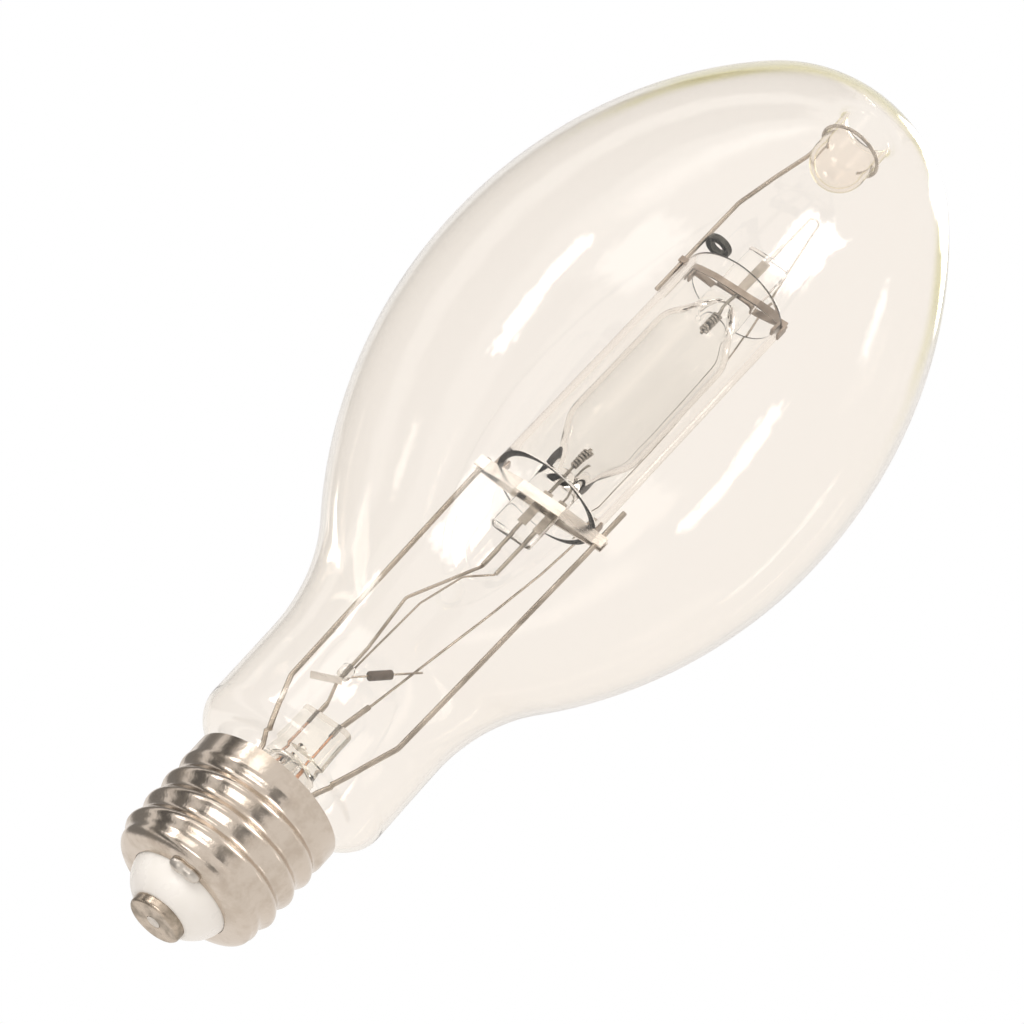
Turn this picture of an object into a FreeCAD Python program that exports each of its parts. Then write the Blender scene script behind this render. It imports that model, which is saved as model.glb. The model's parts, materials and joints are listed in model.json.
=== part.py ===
import FreeCAD, Part
import math
import os

# A clear high intensity discharge lamp on a mogul screw base.
# Lengths are in millimetres and angles in degrees. The lamp stands base down:
# +Z is the bulb's axis, and the origin is the flat tip of the centre contact.

V = FreeCAD.Vector
UP = V(0, 0, 1)
ORIGIN = V(0, 0, 0)
SAME_POINT = 1e-7
BEND_SHARE = 0.45

# Outer bulb
bulb_diameter = 117.5
belly_drop = 0.45
dome_angle = 35.51
neck_diameter = 49.0
neck_length = 20.8
neck_blend = 58.0
glass_wall = 1.1
shoulder_rise = 10.5
shoulder_round = 6.2
root_diameter = 34.8
root_round = 2.5
dimple_bore = 12.4
dimple_depth = 21.0
mouth_round = 3.0

# Screw base
thread_diameter = 38.9
thread_pitch = 6.35
thread_depth = 1.35
crest_rise = 2.7
thread_run_in = 3.0
sheet = 0.5
shell_bottom = 9.1
shell_length = 30.6
collar_diameter = 38.4
collar_height = 5.6
lip_width = 5.65
lip_rise = 2.6
contact_diameter = 13.4
contact_height = 3.1
contact_seat_depth = 0.8
contact_hole = 3.4
contact_edge_round = 0.8
insulator_tip_diameter = 14.4
insulator_bulge = 1.0
insulator_height = 11.6
insulator_gap = 0.12
flange_reach = 3.5
flange_lift = 0.6
flange_height = 1.6
solder_bead_diameter = 3.0
solder_bead_turn = 21.0
solder_bead_offset = 1.0
solder_bead_drop = 0.3
solder_hollow = 0.15
side_solder_angle = -100.8
cement_height = 2.9
cement_recess = 0.4
fit_gap = 0.05

# Stem
seal_depth = 5.6
stem_wall = 1.3
stem_diameter = 13.0
flare_round = 5.0
stem_height = 11.9
press_width = 13.0
press_thickness = 5.0
press_edge_round = 2.0
press_height = 17.0
press_shift = -1.0
press_lift = 2.0
exhaust_diameter = 4.0
exhaust_bore = 2.4
exhaust_drop = 14.0
exhaust_tip_diameter = 1.2
exhaust_taper = 4.5
exhaust_plug = 3.2
exhaust_port = 1.8
exhaust_port_rise = 2.2
lead_spacing = 6.4
seal_wire_diameter = 0.8
seal_wire_offset = 4.6
outer_lead_diameter = 0.9
outer_lead_bend = 3.5
contact_lead_rise = 0.8
contact_lead_turn = 2.0
shell_lead_offset = 0.7
shell_lead_spread = 0.2
shell_lead_start = 1.5
shell_lead_drop = 8.1
shell_lead_step = 3.0
shell_lead_rise = 7.0
shell_lead_straight = 1.0
shell_lead_poke = 0.4
live_post_diameter = 1.0
return_post_diameter = 1.3
return_post_bend = 2.0
live_post_height = 4.0
return_post_height = 9.0
return_post_drift = (1.5, -0.2)
post_straight = 1.2
post_depth = 2.5

# Frame that carries the arc tube
mount_turn = -19.5
mount_lean = 1.1
rod_diameter = 1.3
rod_gap = 1.75
rod_bend_rise = 4.5
rod_bend_spacing = 30.4
rod_foot_drop = 0.5
rod_bend_round = 4.0
rod_straight = 3.0
rod_overrun_left = 0.6
rod_overrun_right = 8.5
clamp_height = 4.0
clamp_thickness = 0.5
clamp_drop = 0.9
strap_rise = 75.2
strap_height = 3.0
strap_thickness = 0.5
strap_overhang = 1.1
upper_strap_height = 1.7
upper_strap_overhang = 0.3
strap_end = 2.6
strap_flat_margin = 0.6
weld_sink = 0.05
clip_width = 2.2
clip_thickness = 0.6
clip_drop = 2.6
clip_reach = 0.4

# Arc tube and its shroud
shroud_diameter = 28.2
shroud_wall = 1.6
shroud_length = 73.4
arc_tube_diameter = 20.4
arc_tube_wall = 1.2
arc_barrel_start = 23.5
arc_barrel_length = 30.5
arc_end_round = 9.0
arc_end_angle = 27.0
arc_end_diameter = 5.6
arc_cavity_radius = 2.3
seal_width = 11.0
seal_thickness = 3.4
seal_length = 19.6
upper_seal_length = 17.0
upper_lead_length = 7.0
seal_edge_round = 0.8
seal_overlap = 4.0
foil_width = 2.4
foil_thickness = 0.2
foil_length = 10.6
foil_cover = 4.0
electrode_diameter = 0.9
electrode_reach = 9.0
coil_diameter = 2.5
coil_turns = 6
coil_pitch = 0.9
coil_tip = 1.0
seal_lead_diameter = 1.0
seal_lead_length = 14.4
probe_offset = 3.9
probe_foil_width = 1.6
probe_diameter = 0.5
probe_bend = 1.0
probe_tip_offset = 2.5
probe_straight = 1.6
probe_knee = 0.6
probe_reach = 4.6

# Wires and starting parts. Places are given from the piece that each wire passes.
link_diameter = 0.8
link_bend = 3.0
link_post_rise = 1.0
link_post_gap = 0.4
link_bead_run = 3.2
link_bead_rise = 8.0
link_bow = (-6.8, 2.2)
link_bow_drop = 18.2
probe_wire_diameter = 0.5
probe_wire_bend = 2.0
probe_bow = (-3.6, 3.6)
probe_bow_drop = 16.2
probe_pass = (-0.4, 3.2)
probe_pass_drop = 4.0
return_wire_diameter = 0.6
return_wire_bend = 12.0
return_bow_angle = 56.0
return_loop_rise = 11.5
return_loop_width = 2.6
return_lap_below = 3.0
return_lap_above = 1.5
return_end_gap = 0.4
return_reach_below = [(0.342, 11.0), (0.657, 16.1), (0.946, 20.2)]
return_gap_beside = [(0.2425, 9.2), (0.527, 9.8), (0.788, 7.5), (0.977, 2.8)]
return_reach_above = [(0.446, 11.2), (0.806, 7.4)]
lead_lap = 6.5
lead_lap_start = 0.3
bead_length = 4.0
bead_diameter = 3.4
bead_offset = (-5.5, 1.3)
bead_rise = 12.6
bead_corner_share = 0.7
probe_entry_offset = (0.9, 0.9, -0.2)
resistor_entry_offset = (0.9, 0.2, -0.8)
resistor_length = 6.2
resistor_diameter = 2.3
resistor_edge_round = 0.3
resistor_wire_diameter = 0.5
resistor_wire_overrun = 2.5
resistor_touch_share = 0.72
bimetal_length = 6.6
bimetal_width = 1.7
bimetal_thickness = 0.35
bimetal_slope = 32.7
bimetal_overlap = 0.8
bimetal_drop = 3.0
weld_tab_height = 3.2
weld_tab_width = 2.2
weld_tab_thickness = 0.35
weld_tab_drop = 1.3

# Top support and getter
top_wire_diameter = 1.1
top_wire_gap = 1.05
top_wire_tail = 9.6
top_wire_rise = 23.4
top_wire_bend = 9.0
top_wire_approach = (-2.6, 0.2, -16.0)
top_wire_straight = 4.5
top_wire_overrun = 0.8
ring_wire_diameter = 0.9
ring_drop = 10.4
ring_gap_angle = 92.0
ring_gap_direction = 88.0
ring_joint_direction = 139.0
dimple_clearance = 8.9
getter_diameter = 6.8
getter_bore = 3.4
getter_height = 1.4
getter_wall = 0.25
getter_rise = 9.2

# Heights that follow, from the base upwards
shell_rim = shell_bottom + shell_length
first_crest = shell_bottom + crest_rise
seal_height = shell_rim - seal_depth
shoulder_height = shell_rim + shoulder_rise
neck_top = shoulder_height + neck_length
tube_top = seal_height + stem_height
press_top = tube_top + press_height
exhaust_tip = seal_height - exhaust_drop
rod_foot_height = tube_top - rod_foot_drop
rod_bend_height = press_top + rod_bend_rise
lower_strap_base = press_top + strap_rise
strap_top = lower_strap_base + strap_height
shroud_top = strap_top + shroud_length
barrel_start = strap_top + arc_barrel_start
barrel_end = barrel_start + arc_barrel_length
belly_height = (barrel_start + barrel_end) / 2 - belly_drop


class Outline:
    """A closed outline in the XZ plane, drawn from point to point."""

    def __init__(self, r, z):
        self.first = V(r, 0, z)
        self.last = self.first
        self.edges = []

    def line(self, r, z):
        target = V(r, 0, z)
        if target.distanceToPoint(self.last) > SAME_POINT:
            self.edges.append(Part.LineSegment(self.last, target).toShape())
            self.last = target
        return self

    def arc(self, centre_r, centre_z, radius, start, stop):
        middle = on_circle(centre_r, centre_z, radius, (start + stop) / 2)
        target = on_circle(centre_r, centre_z, radius, stop)
        self.edges.append(Part.Arc(self.last, middle, target).toShape())
        self.last = target
        return self

    def face(self):
        self.line(self.first.x, self.first.z)
        return Part.Face(Part.Wire(self.edges))

    def turned(self):
        return self.face().revolve(ORIGIN, UP, 360)


def on_circle(centre_r, centre_z, radius, angle):
    """A point on a circle in the XZ plane."""
    turn = math.radians(angle)
    return V(centre_r + radius * math.cos(turn), 0, centre_z + radius * math.sin(turn))


def heading(start, stop):
    """Angle from one point to another."""
    return math.degrees(math.atan2(stop[1] - start[1], stop[0] - start[0]))


def stem_point(u, w, z):
    """A point of the stem and frame, turned about the axis but upright."""
    turn = math.radians(mount_turn)
    return V(u * math.cos(turn) - w * math.sin(turn), u * math.sin(turn) + w * math.cos(turn), z)


def mount_point(u, w, z):
    """A point of the arc tube's mount, which also leans a little."""
    point = stem_point(u, w, z)
    lean = math.radians(mount_lean)
    height = point.z - press_top
    return V(point.x * math.cos(lean) + height * math.sin(lean), point.y,
             press_top + height * math.cos(lean) - point.x * math.sin(lean))


def on_stem(shape):
    """Turn a shape made along X to the frame's own direction."""
    shape.rotate(ORIGIN, UP, mount_turn)
    return shape


def on_mount(shape):
    """Turn and lean a shape made upright along X."""
    on_stem(shape)
    shape.rotate(V(0, 0, press_top), V(0, 1, 0), mount_lean)
    return shape


def round_path(points, bend):
    """Straight runs joined by tangent arcs."""
    edges = []
    start = points[0]
    for before, corner, after in zip(points, points[1:], points[2:]):
        way_in = (corner - before).normalize()
        way_out = (after - corner).normalize()
        turn = way_in.getAngle(way_out)
        room = BEND_SHARE * min((corner - before).Length, (after - corner).Length)
        setback = min(bend * math.tan(turn / 2), room)
        if setback < 1e-4:
            continue
        enter = corner - way_in * setback
        leave = corner + way_out * setback
        radius = setback / math.tan(turn / 2)
        inward = (way_out - way_in).normalize()
        middle = corner + inward * (radius / math.cos(turn / 2) - radius)
        edges.append(Part.LineSegment(start, enter).toShape())
        edges.append(Part.Arc(enter, middle, leave).toShape())
        start = leave
    edges.append(Part.LineSegment(start, points[-1]).toShape())
    return Part.Wire(edges)


def bar(points, diameter, bend):
    """A round wire along a bent path."""
    path = round_path(points, bend)
    ring = Part.Wire(Part.makeCircle(diameter / 2, points[0], points[1] - points[0]))
    return path.makePipeShell([ring], True, False)


def pin(diameter, start, length, u=0.0, w=0.0):
    """An upright round pin in mount coordinates."""
    return Part.makeCylinder(diameter / 2, length, V(u, w, start))


def strip(points, thickness, bottom, height):
    """A flat strip on edge, bent along points in plan with mitred corners."""
    left = []
    right = []
    for index, point in enumerate(points):
        near = points[max(index - 1, 0)]
        far = points[min(index + 1, len(points) - 1)]
        way_in = V(point[0] - near[0], point[1] - near[1], 0)
        way_out = V(far[0] - point[0], far[1] - point[1], 0)
        if index == 0:
            way_in = way_out
        if index == len(points) - 1:
            way_out = way_in
        along = (way_in.normalize() + way_out.normalize()).normalize()
        across = V(-along.y, along.x, 0)
        reach = thickness / 2 / along.dot(way_in)
        centre = V(point[0], point[1], bottom)
        left.append(centre + across * reach)
        right.append(centre - across * reach)
    ring = left + right[::-1]
    return Part.Face(Part.makePolygon(ring + ring[:1])).extrude(V(0, 0, height))


def smooth(share):
    """Ease from 0 to 1."""
    share = min(max(share, 0.0), 1.0)
    return share * share * (3 - 2 * share)


# Screw base

thread_root = thread_diameter / 2 - thread_depth
lip_top = shell_bottom + lip_rise
lip_radius = thread_root - lip_width
collar_start = shell_rim - collar_height
insulator_bottom = contact_height - contact_seat_depth
insulator_top = insulator_bottom + insulator_height


def shell_radius(z, angle):
    """Outer radius of the rolled thread at a height and an angle in radians."""
    blend = smooth((z - collar_start + thread_pitch / 4) / (thread_pitch / 2))
    run_in = smooth((z - lip_top) / thread_run_in)
    wave = 0.5 + 0.5 * math.cos(2 * math.pi * (z - first_crest) / thread_pitch - angle)
    rise = collar_diameter / 2 - thread_root
    return thread_root + thread_depth * wave * run_in * (1 - blend) + rise * blend


def shell_skin(inset):
    """One side of the sheet metal shell, as a smooth face through its rolled form."""
    around = 36
    lip_steps = 12
    steps_per_turn = 12
    rise_steps = round((shell_rim - lip_top) / thread_pitch * steps_per_turn)
    rows = []
    for step in range(lip_steps):
        turn = math.radians(-90 + 90 * step / lip_steps)
        radius = lip_radius + (lip_width - inset) * math.cos(turn)
        height = lip_top + (lip_rise - inset) * math.sin(turn)
        rows.append([(radius, height)] * (around + 1))
    for step in range(rise_steps + 1):
        height = lip_top + (shell_rim - lip_top) * step / rise_steps
        row = []
        for place in range(around + 1):
            angle = 2 * math.pi * place / around
            row.append((shell_radius(height, angle) - inset, height))
        rows.append(row)
    grid = []
    for row in rows:
        line = []
        for place, (radius, height) in enumerate(row):
            angle = 2 * math.pi * (place % around) / around
            line.append(V(radius * math.cos(angle), radius * math.sin(angle), height))
        grid.append(line)
    surface = Part.BSplineSurface()
    surface.interpolate(grid)
    return surface.toShape()


def rings_of(face):
    """The two level closed edges of a skin, lowest first."""
    level = [edge for edge in face.Edges if edge.BoundBox.ZLength < 1e-4]
    return sorted(level, key=lambda edge: edge.BoundBox.ZMin)


def screw_shell():
    """Nickel plated sheet shell with its rolled right-hand thread, lip and collar."""
    outer = shell_skin(0.0)
    inner = shell_skin(sheet)
    ends = [Part.makeRuledSurface(a, b) for a, b in zip(rings_of(outer), rings_of(inner))]
    skin = Part.makeShell([outer, inner] + ends)
    skin.sewShape()
    solid = Part.makeSolid(Part.Shell(skin.Faces))
    if solid.Volume < 0:
        solid.reverse()
    return solid.cut(shell_lead())


def insulator():
    """White glass insulator between the shell's lip and the centre contact."""
    bottom = insulator_bottom
    neck_radius = lip_radius - insulator_gap
    shelf = shell_bottom + sheet + insulator_gap
    tip_radius = insulator_tip_diameter / 2
    chord = math.hypot(neck_radius - tip_radius, shell_bottom - bottom)
    radius = (chord ** 2 / 4 + insulator_bulge ** 2) / (2 * insulator_bulge)
    middle_r = (neck_radius + tip_radius) / 2
    middle_z = (shell_bottom + bottom) / 2
    out_r = (shell_bottom - bottom) / chord
    out_z = -(neck_radius - tip_radius) / chord
    centre_r = middle_r - out_r * (radius - insulator_bulge)
    centre_z = middle_z - out_z * (radius - insulator_bulge)
    start = heading((centre_r, centre_z), (tip_radius, bottom))
    stop = heading((centre_r, centre_z), (neck_radius, shell_bottom))
    lead_radius = outer_lead_diameter / 2
    seat = contact_diameter / 2
    shape = Outline(seat, bottom).line(tip_radius, bottom)
    shape.arc(centre_r, centre_z, radius, start, stop)
    flange = shelf + flange_lift
    shape.line(neck_radius, shelf).line(lip_radius, shelf).line(lip_radius + flange_reach, flange)
    shape.line(lip_radius + flange_reach, flange + flange_height).line(neck_radius, insulator_top)
    shape.line(lead_radius, insulator_top).line(lead_radius, contact_height)
    shape.line(seat, contact_height)
    body = shape.turned()
    return body.cut(shell_lead())


def centre_contact():
    """Pressed brass contact with a hole for the soldered lead."""
    radius = contact_diameter / 2
    hole = contact_hole / 2
    shape = Outline(hole, 0).line(radius - contact_edge_round, 0)
    shape.arc(radius - contact_edge_round, contact_edge_round, contact_edge_round, -90, 0)
    shape.line(radius, contact_height).line(hole, contact_height)
    return shape.turned()


def contact_solder():
    """Solder that fills the contact's hole round the lead, a little hollow below."""
    hole = contact_hole / 2
    radius = (hole ** 2 + solder_hollow ** 2) / (2 * solder_hollow)
    centre = (0, solder_hollow - radius)
    shape = Outline(0, solder_hollow).arc(*centre, radius, 90, heading(centre, (hole, 0)))
    shape.line(hole, contact_height).line(0, contact_height)
    return shape.turned().cut(contact_lead())


def side_solder():
    """Bead of solder on the lip that joins the shell's lead."""
    bead = solder_bead_diameter / 2
    place_r = lip_radius + solder_bead_offset
    place_z = shell_bottom - solder_bead_drop
    half = solder_bead_turn / 2
    section = Part.Face(Part.Wire(Part.makeCircle(bead, V(place_r, 0, place_z), V(0, 1, 0))))
    section.rotate(ORIGIN, UP, side_solder_angle - half)
    shape = section.revolve(ORIGIN, UP, solder_bead_turn)
    for end in (-half, half):
        turn = math.radians(side_solder_angle + end)
        centre = V(place_r * math.cos(turn), place_r * math.sin(turn), place_z)
        shape = shape.fuse(Part.makeSphere(bead, centre))
    lip = pin(2 * (lip_radius + solder_bead_diameter), shell_bottom, lip_rise)
    return shape.cut([lip, insulator(), shell_lead()]).Solids[0]


def capping_cement():
    """Cement that seats the bulb's root in the collar."""
    inner = root_diameter / 2
    outer = collar_diameter / 2 - sheet - fit_gap
    top = shell_rim - cement_recess
    bottom = top - cement_height
    shape = Outline(inner, bottom).line(outer, bottom).line(outer, top).line(inner, top)
    return shape.turned().cut(outer_bulb())


# Outer bulb

root_radius = root_diameter / 2
neck_radius = neck_diameter / 2
belly_radius = bulb_diameter / 2


def bulb_outline(inset):
    """Runs of the bulb's wall from its sealed root to the dimple's blind end."""
    root_c = root_radius + root_round
    shoulder_c = neck_radius - shoulder_round
    step = math.sqrt((shoulder_round + root_round) ** 2 - (root_c - shoulder_c) ** 2)
    root_z = shoulder_height - step
    toward_shoulder = heading((root_c, root_z), (shoulder_c, shoulder_height))
    spread = belly_radius - neck_radius
    rise = belly_height - neck_top
    blend_sum = (spread ** 2 + rise ** 2) / (2 * spread)
    lower_belly = blend_sum - neck_blend
    flare_c = neck_radius + neck_blend
    toward_belly = heading((flare_c, neck_top), (belly_radius - lower_belly, belly_height))
    turn = math.radians(dome_angle)
    slant = 1 / math.cos(turn) - math.tan(turn)
    upper_belly = (bulb_apex - belly_height - belly_radius * slant) / (1 - slant)
    upper_c = belly_radius - upper_belly
    dome_radius = upper_belly + upper_c / math.cos(turn)
    dome_z = bulb_apex - dome_radius
    mouth_c = dimple_bore / 2 + mouth_round
    mouth_z = dome_z + math.sqrt((dome_radius - mouth_round) ** 2 - mouth_c ** 2)
    toward_mouth = heading((0, dome_z), (mouth_c, mouth_z))
    arcs = [
        (root_c, root_z, root_round + inset, 180, toward_shoulder),
        (shoulder_c, shoulder_height, shoulder_round - inset, toward_shoulder - 180, 0),
        (flare_c, neck_top, neck_blend + inset, 180, toward_belly),
        (belly_radius - lower_belly, belly_height, lower_belly - inset, toward_belly - 180, 0),
        (upper_c, belly_height, upper_belly - inset, 0, dome_angle),
        (0, dome_z, dome_radius - inset, dome_angle, toward_mouth),
        (mouth_c, mouth_z, mouth_round - inset, toward_mouth, 180),
        (0, bulb_apex - dimple_depth + dimple_bore / 2, dimple_bore / 2 + inset, 0, -90),
    ]
    shape = Outline(root_radius - inset, seal_height)
    for centre_r, centre_z, radius, start, stop in arcs:
        begin = on_circle(centre_r, centre_z, radius, start)
        shape.line(begin.x, begin.z)
        shape.arc(centre_r, centre_z, radius, start, stop)
    return shape


def outer_bulb():
    """Blown clear bulb, open at the root and dimpled at the crown."""
    outside = bulb_outline(0.0)
    inside = bulb_outline(glass_wall)
    rim = Part.LineSegment(inside.first, outside.first).toShape()
    tip = Part.LineSegment(outside.last, inside.last).toShape()
    wall = Part.Wire(outside.edges + [tip] + inside.edges[::-1] + [rim])
    return Part.Face(wall).revolve(ORIGIN, UP, 360)


# Stem

stem_radius = stem_diameter / 2
flange_radius = root_radius - glass_wall
tube_start = seal_height + stem_wall + flare_round


def lead_place(side):
    """Distance of a lead from the axis along the frame, -1 live and +1 return."""
    return press_shift + side * lead_spacing / 2


def stem_glass():
    """Flare, tube and flat press of the stem, with its exhaust port."""
    bore = stem_radius - stem_wall
    knee = stem_radius + flare_round
    shape = Outline(flange_radius, seal_height).line(flange_radius, seal_height + stem_wall)
    shape.line(knee, seal_height + stem_wall)
    shape.arc(knee, tube_start, flare_round, -90, -180)
    shape.line(stem_radius, tube_top).arc(0, tube_top, stem_radius, 0, 90)
    shape.line(0, tube_top + bore).arc(0, tube_top, bore, 90, 0).line(bore, tube_start)
    shape.arc(knee, tube_start, flare_round + stem_wall, -180, -90)
    tube = shape.turned()
    base = tube_top + press_lift
    slab = Part.makeBox(press_width, press_thickness, press_top - base,
                        V(press_shift - press_width / 2, -press_thickness / 2, base))
    upright = [edge for edge in slab.Edges if edge.BoundBox.ZLength > 1]
    slab = slab.makeFillet(press_edge_round, upright)
    slab = slab.cut(Part.makeSphere(bore, V(0, 0, tube_top)))
    glass = tube.fuse(on_stem(slab)).removeSplitter()
    port_height = tube_top + bore + exhaust_port_rise
    port = pin(exhaust_port, tube_top, port_height - tube_top, press_shift)
    side_port = Part.makeCylinder(exhaust_port / 2, stem_diameter,
                                  V(press_shift, 0, port_height - exhaust_port / 2), V(0, -1, 0))
    glass = glass.cut([on_stem(port), on_stem(side_port)])
    wires = [seal_wire(-1), seal_wire(1), live_post(), return_post(), contact_lead(), shell_lead()]
    return glass.cut(wires)


def exhaust_tube():
    """Exhaust tube below the stem, melted shut inside the base."""
    outer = exhaust_diameter / 2
    bore = exhaust_bore / 2
    top = tube_top + stem_radius - stem_wall
    shape = Outline(bore, top).line(outer, top).line(outer, exhaust_tip + exhaust_taper)
    shape.line(exhaust_tip_diameter / 2, exhaust_tip).line(0, exhaust_tip)
    shape.line(0, exhaust_tip + exhaust_plug).line(bore, exhaust_tip + exhaust_plug + exhaust_bore)
    tube = shape.turned()
    tube.translate(V(press_shift, 0, 0))
    cap = Part.makeSphere(stem_radius - stem_wall, V(0, 0, tube_top))
    barrel = Part.makeCylinder(stem_radius - stem_wall, tube_top - exhaust_tip, V(0, 0, exhaust_tip))
    return on_stem(tube).common(cap.fuse(barrel))


seal_wire_start = tube_top + seal_wire_offset
seal_wire_end = press_top - post_depth


def seal_wire(side):
    """Copper coated wire sealed in the press."""
    length = seal_wire_end - seal_wire_start
    return on_stem(pin(seal_wire_diameter, seal_wire_start, length, lead_place(side)))


def live_post():
    """Short nickel post for the lower electrode's lead."""
    length = post_depth + live_post_height
    return on_stem(pin(live_post_diameter, seal_wire_end, length, lead_place(-1)))


def return_post_top():
    """Free end of the return post."""
    foot = stem_point(lead_place(1), 0, press_top)
    return foot + V(*return_post_drift, return_post_height)


def return_post_knee():
    """Where the return post begins to lean."""
    return stem_point(lead_place(1), 0, press_top + post_straight)


def return_post():
    """Thicker post that carries the return wire, bent a little outward."""
    points = [stem_point(lead_place(1), 0, seal_wire_end), return_post_knee(), return_post_top()]
    return bar(points, return_post_diameter, return_post_bend)


def contact_lead():
    """Copper lead from the press down to the centre contact."""
    foot = lead_place(-1)
    points = [stem_point(foot, 0, seal_wire_start), stem_point(foot, 0, exhaust_tip + contact_lead_turn),
              V(0, 0, insulator_top + contact_lead_rise), V(0, 0, contact_height / 2)]
    return bar(points, outer_lead_diameter, outer_lead_bend)


def shell_lead():
    """Copper lead from the press to the shell's lip."""
    turn = math.radians(side_solder_angle)
    out = V(math.cos(turn), math.sin(turn), 0)
    way = lip_radius + shell_lead_offset
    foot = stem_point(lead_place(1), 0, seal_wire_start)
    points = [foot, V(foot.x, foot.y, seal_height + shell_lead_start),
              V(foot.x, foot.y, seal_height - shell_lead_drop) + out * shell_lead_step,
              out * (way + shell_lead_spread) + UP * (lip_top + shell_lead_rise),
              out * way + UP * (lip_top + shell_lead_straight),
              out * way + UP * (shell_bottom - shell_lead_poke)]
    return bar(points, outer_lead_diameter, outer_lead_bend)


# Frame

rod_reach = shroud_diameter / 2 + rod_gap + rod_diameter / 2
top_wire_reach = shroud_diameter / 2 + top_wire_gap + top_wire_diameter / 2
clamp_base = rod_foot_height - clamp_height - clamp_drop


def frame_rod(side):
    """Bent wire rod from the stem clamp to the lower strap."""
    foot = side * (stem_radius + clamp_thickness + rod_diameter / 2 - weld_sink)
    bend = side * rod_bend_spacing / 2
    reach = side * rod_reach
    top = strap_top + (rod_overrun_right if side > 0 else rod_overrun_left)
    points = [stem_point(foot, 0, clamp_base), stem_point(foot, 0, rod_foot_height),
              mount_point(bend, 0, rod_bend_height),
              mount_point(reach, 0, lower_strap_base - rod_straight), mount_point(reach, 0, top)]
    return bar(points, rod_diameter, rod_bend_round)


def stem_clamp():
    """Metal band round the stem that the rods are welded to."""
    outside = stem_radius + clamp_thickness
    shape = Outline(stem_radius, clamp_base).line(outside, clamp_base)
    shape.line(outside, clamp_base + clamp_height).line(stem_radius, clamp_base + clamp_height)
    return shape.turned().cut([frame_rod(-1), frame_rod(1)])


def strap(side, base, height, left, right, post_diameter):
    """One of two bent strips that grip a pinch seal between them."""
    grip = seal_thickness / 2 + strap_thickness / 2
    hold = post_diameter / 2 + strap_thickness / 2 - weld_sink
    flat = seal_width / 2 + strap_flat_margin
    points = [(-left, side * hold), (-left + strap_end, side * hold), (-flat, side * grip),
              (flat, side * grip), (right - strap_end, side * hold), (right, side * hold)]
    return strip(points, strap_thickness, base, height)


def lower_strap(side):
    """Strip across the rods, over the shroud's lower rim."""
    reach = rod_reach + rod_diameter / 2 + strap_overhang
    shape = on_mount(strap(side, lower_strap_base, strap_height, reach, reach, rod_diameter))
    return shape.cut([frame_rod(-1), frame_rod(1)])


def upper_strap(side):
    """Strip on the shroud's upper rim, from the support wire to the right side."""
    left = top_wire_reach + top_wire_diameter / 2 + upper_strap_overhang
    right = shroud_diameter / 2 + clip_reach
    shape = on_mount(strap(side, shroud_top, upper_strap_height, left, right, top_wire_diameter))
    return shape.cut(top_wire())


def shroud_clip(side, upper):
    """Bent tab that laps over the shroud's rim beside a strap."""
    outside = shroud_diameter / 2
    inside = outside - shroud_wall
    half = clip_width / 2
    edge = shroud_top if upper else strap_top
    u_in = inside - clip_thickness - fit_gap
    u_out = outside + clip_thickness + fit_gap
    base = edge if upper else edge - clip_thickness
    bridge = Part.makeBox(u_out - u_in, clip_width, clip_thickness, V(u_in, -half, base))
    legs = []
    start = edge - clip_drop if upper else edge
    for place in (u_in, outside + fit_gap):
        legs.append(Part.makeBox(clip_thickness, clip_width, clip_drop, V(place, -half, start)))
    shape = bridge.fuse(legs).removeSplitter()
    if side < 0:
        shape.rotate(ORIGIN, UP, 180)
    shape = on_mount(shape)
    if upper:
        neighbours = [upper_strap(1), upper_strap(-1), top_wire()]
    else:
        neighbours = [lower_strap(1), lower_strap(-1), frame_rod(-1), frame_rod(1)]
    return shape.cut(neighbours)


def shroud():
    """Clear quartz sleeve round the arc tube."""
    outer = pin(shroud_diameter, strap_top, shroud_length)
    bore = pin(shroud_diameter - 2 * shroud_wall, strap_top, shroud_length)
    return on_mount(outer.cut(bore))


# Arc tube

arc_radius = arc_tube_diameter / 2


def cone_drop(radius):
    """Height from the barrel's end to where the cone is as narrow as a radius."""
    tilt = math.radians(arc_end_angle)
    edge_r = arc_radius - arc_end_round + arc_end_round * math.cos(tilt)
    return arc_end_round * math.sin(tilt) + (edge_r - radius) / math.tan(tilt)


def cavity_drop(radius):
    """The same for the cavity inside the wall."""
    tilt = math.radians(arc_end_angle)
    inner_round = arc_end_round - arc_tube_wall
    edge_r = arc_radius - arc_end_round + inner_round * math.cos(tilt)
    return inner_round * math.sin(tilt) + (edge_r - radius) / math.tan(tilt)


body_drop = cone_drop(arc_end_diameter / 2)
cavity_floor = barrel_start - cavity_drop(arc_cavity_radius)
body_bottom = barrel_start - body_drop
body_top = barrel_end + body_drop
pinch_bottom = body_bottom - seal_length


def spindle(wall, end_radius, drop):
    """A barrel with rounded conical ends, inset by a wall."""
    centre_r = arc_radius - arc_end_round
    radius = arc_end_round - wall
    shape = Outline(0, barrel_start - drop).line(end_radius, barrel_start - drop)
    begin = on_circle(centre_r, barrel_start, radius, -arc_end_angle)
    shape.line(begin.x, begin.z).arc(centre_r, barrel_start, radius, -arc_end_angle, 0)
    shape.line(arc_radius - wall, barrel_end).arc(centre_r, barrel_end, radius, 0, arc_end_angle)
    shape.line(end_radius, barrel_end + drop).line(0, barrel_end + drop)
    return shape.turned()


def pinch(bottom, length):
    """Flat pinch seal with rounded edges."""
    corner = V(-seal_width / 2, -seal_thickness / 2, bottom)
    block = Part.makeBox(seal_width, seal_thickness, length, corner)
    upright = [edge for edge in block.Edges if edge.BoundBox.ZLength > 1]
    return block.makeFillet(seal_edge_round, upright)


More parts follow.
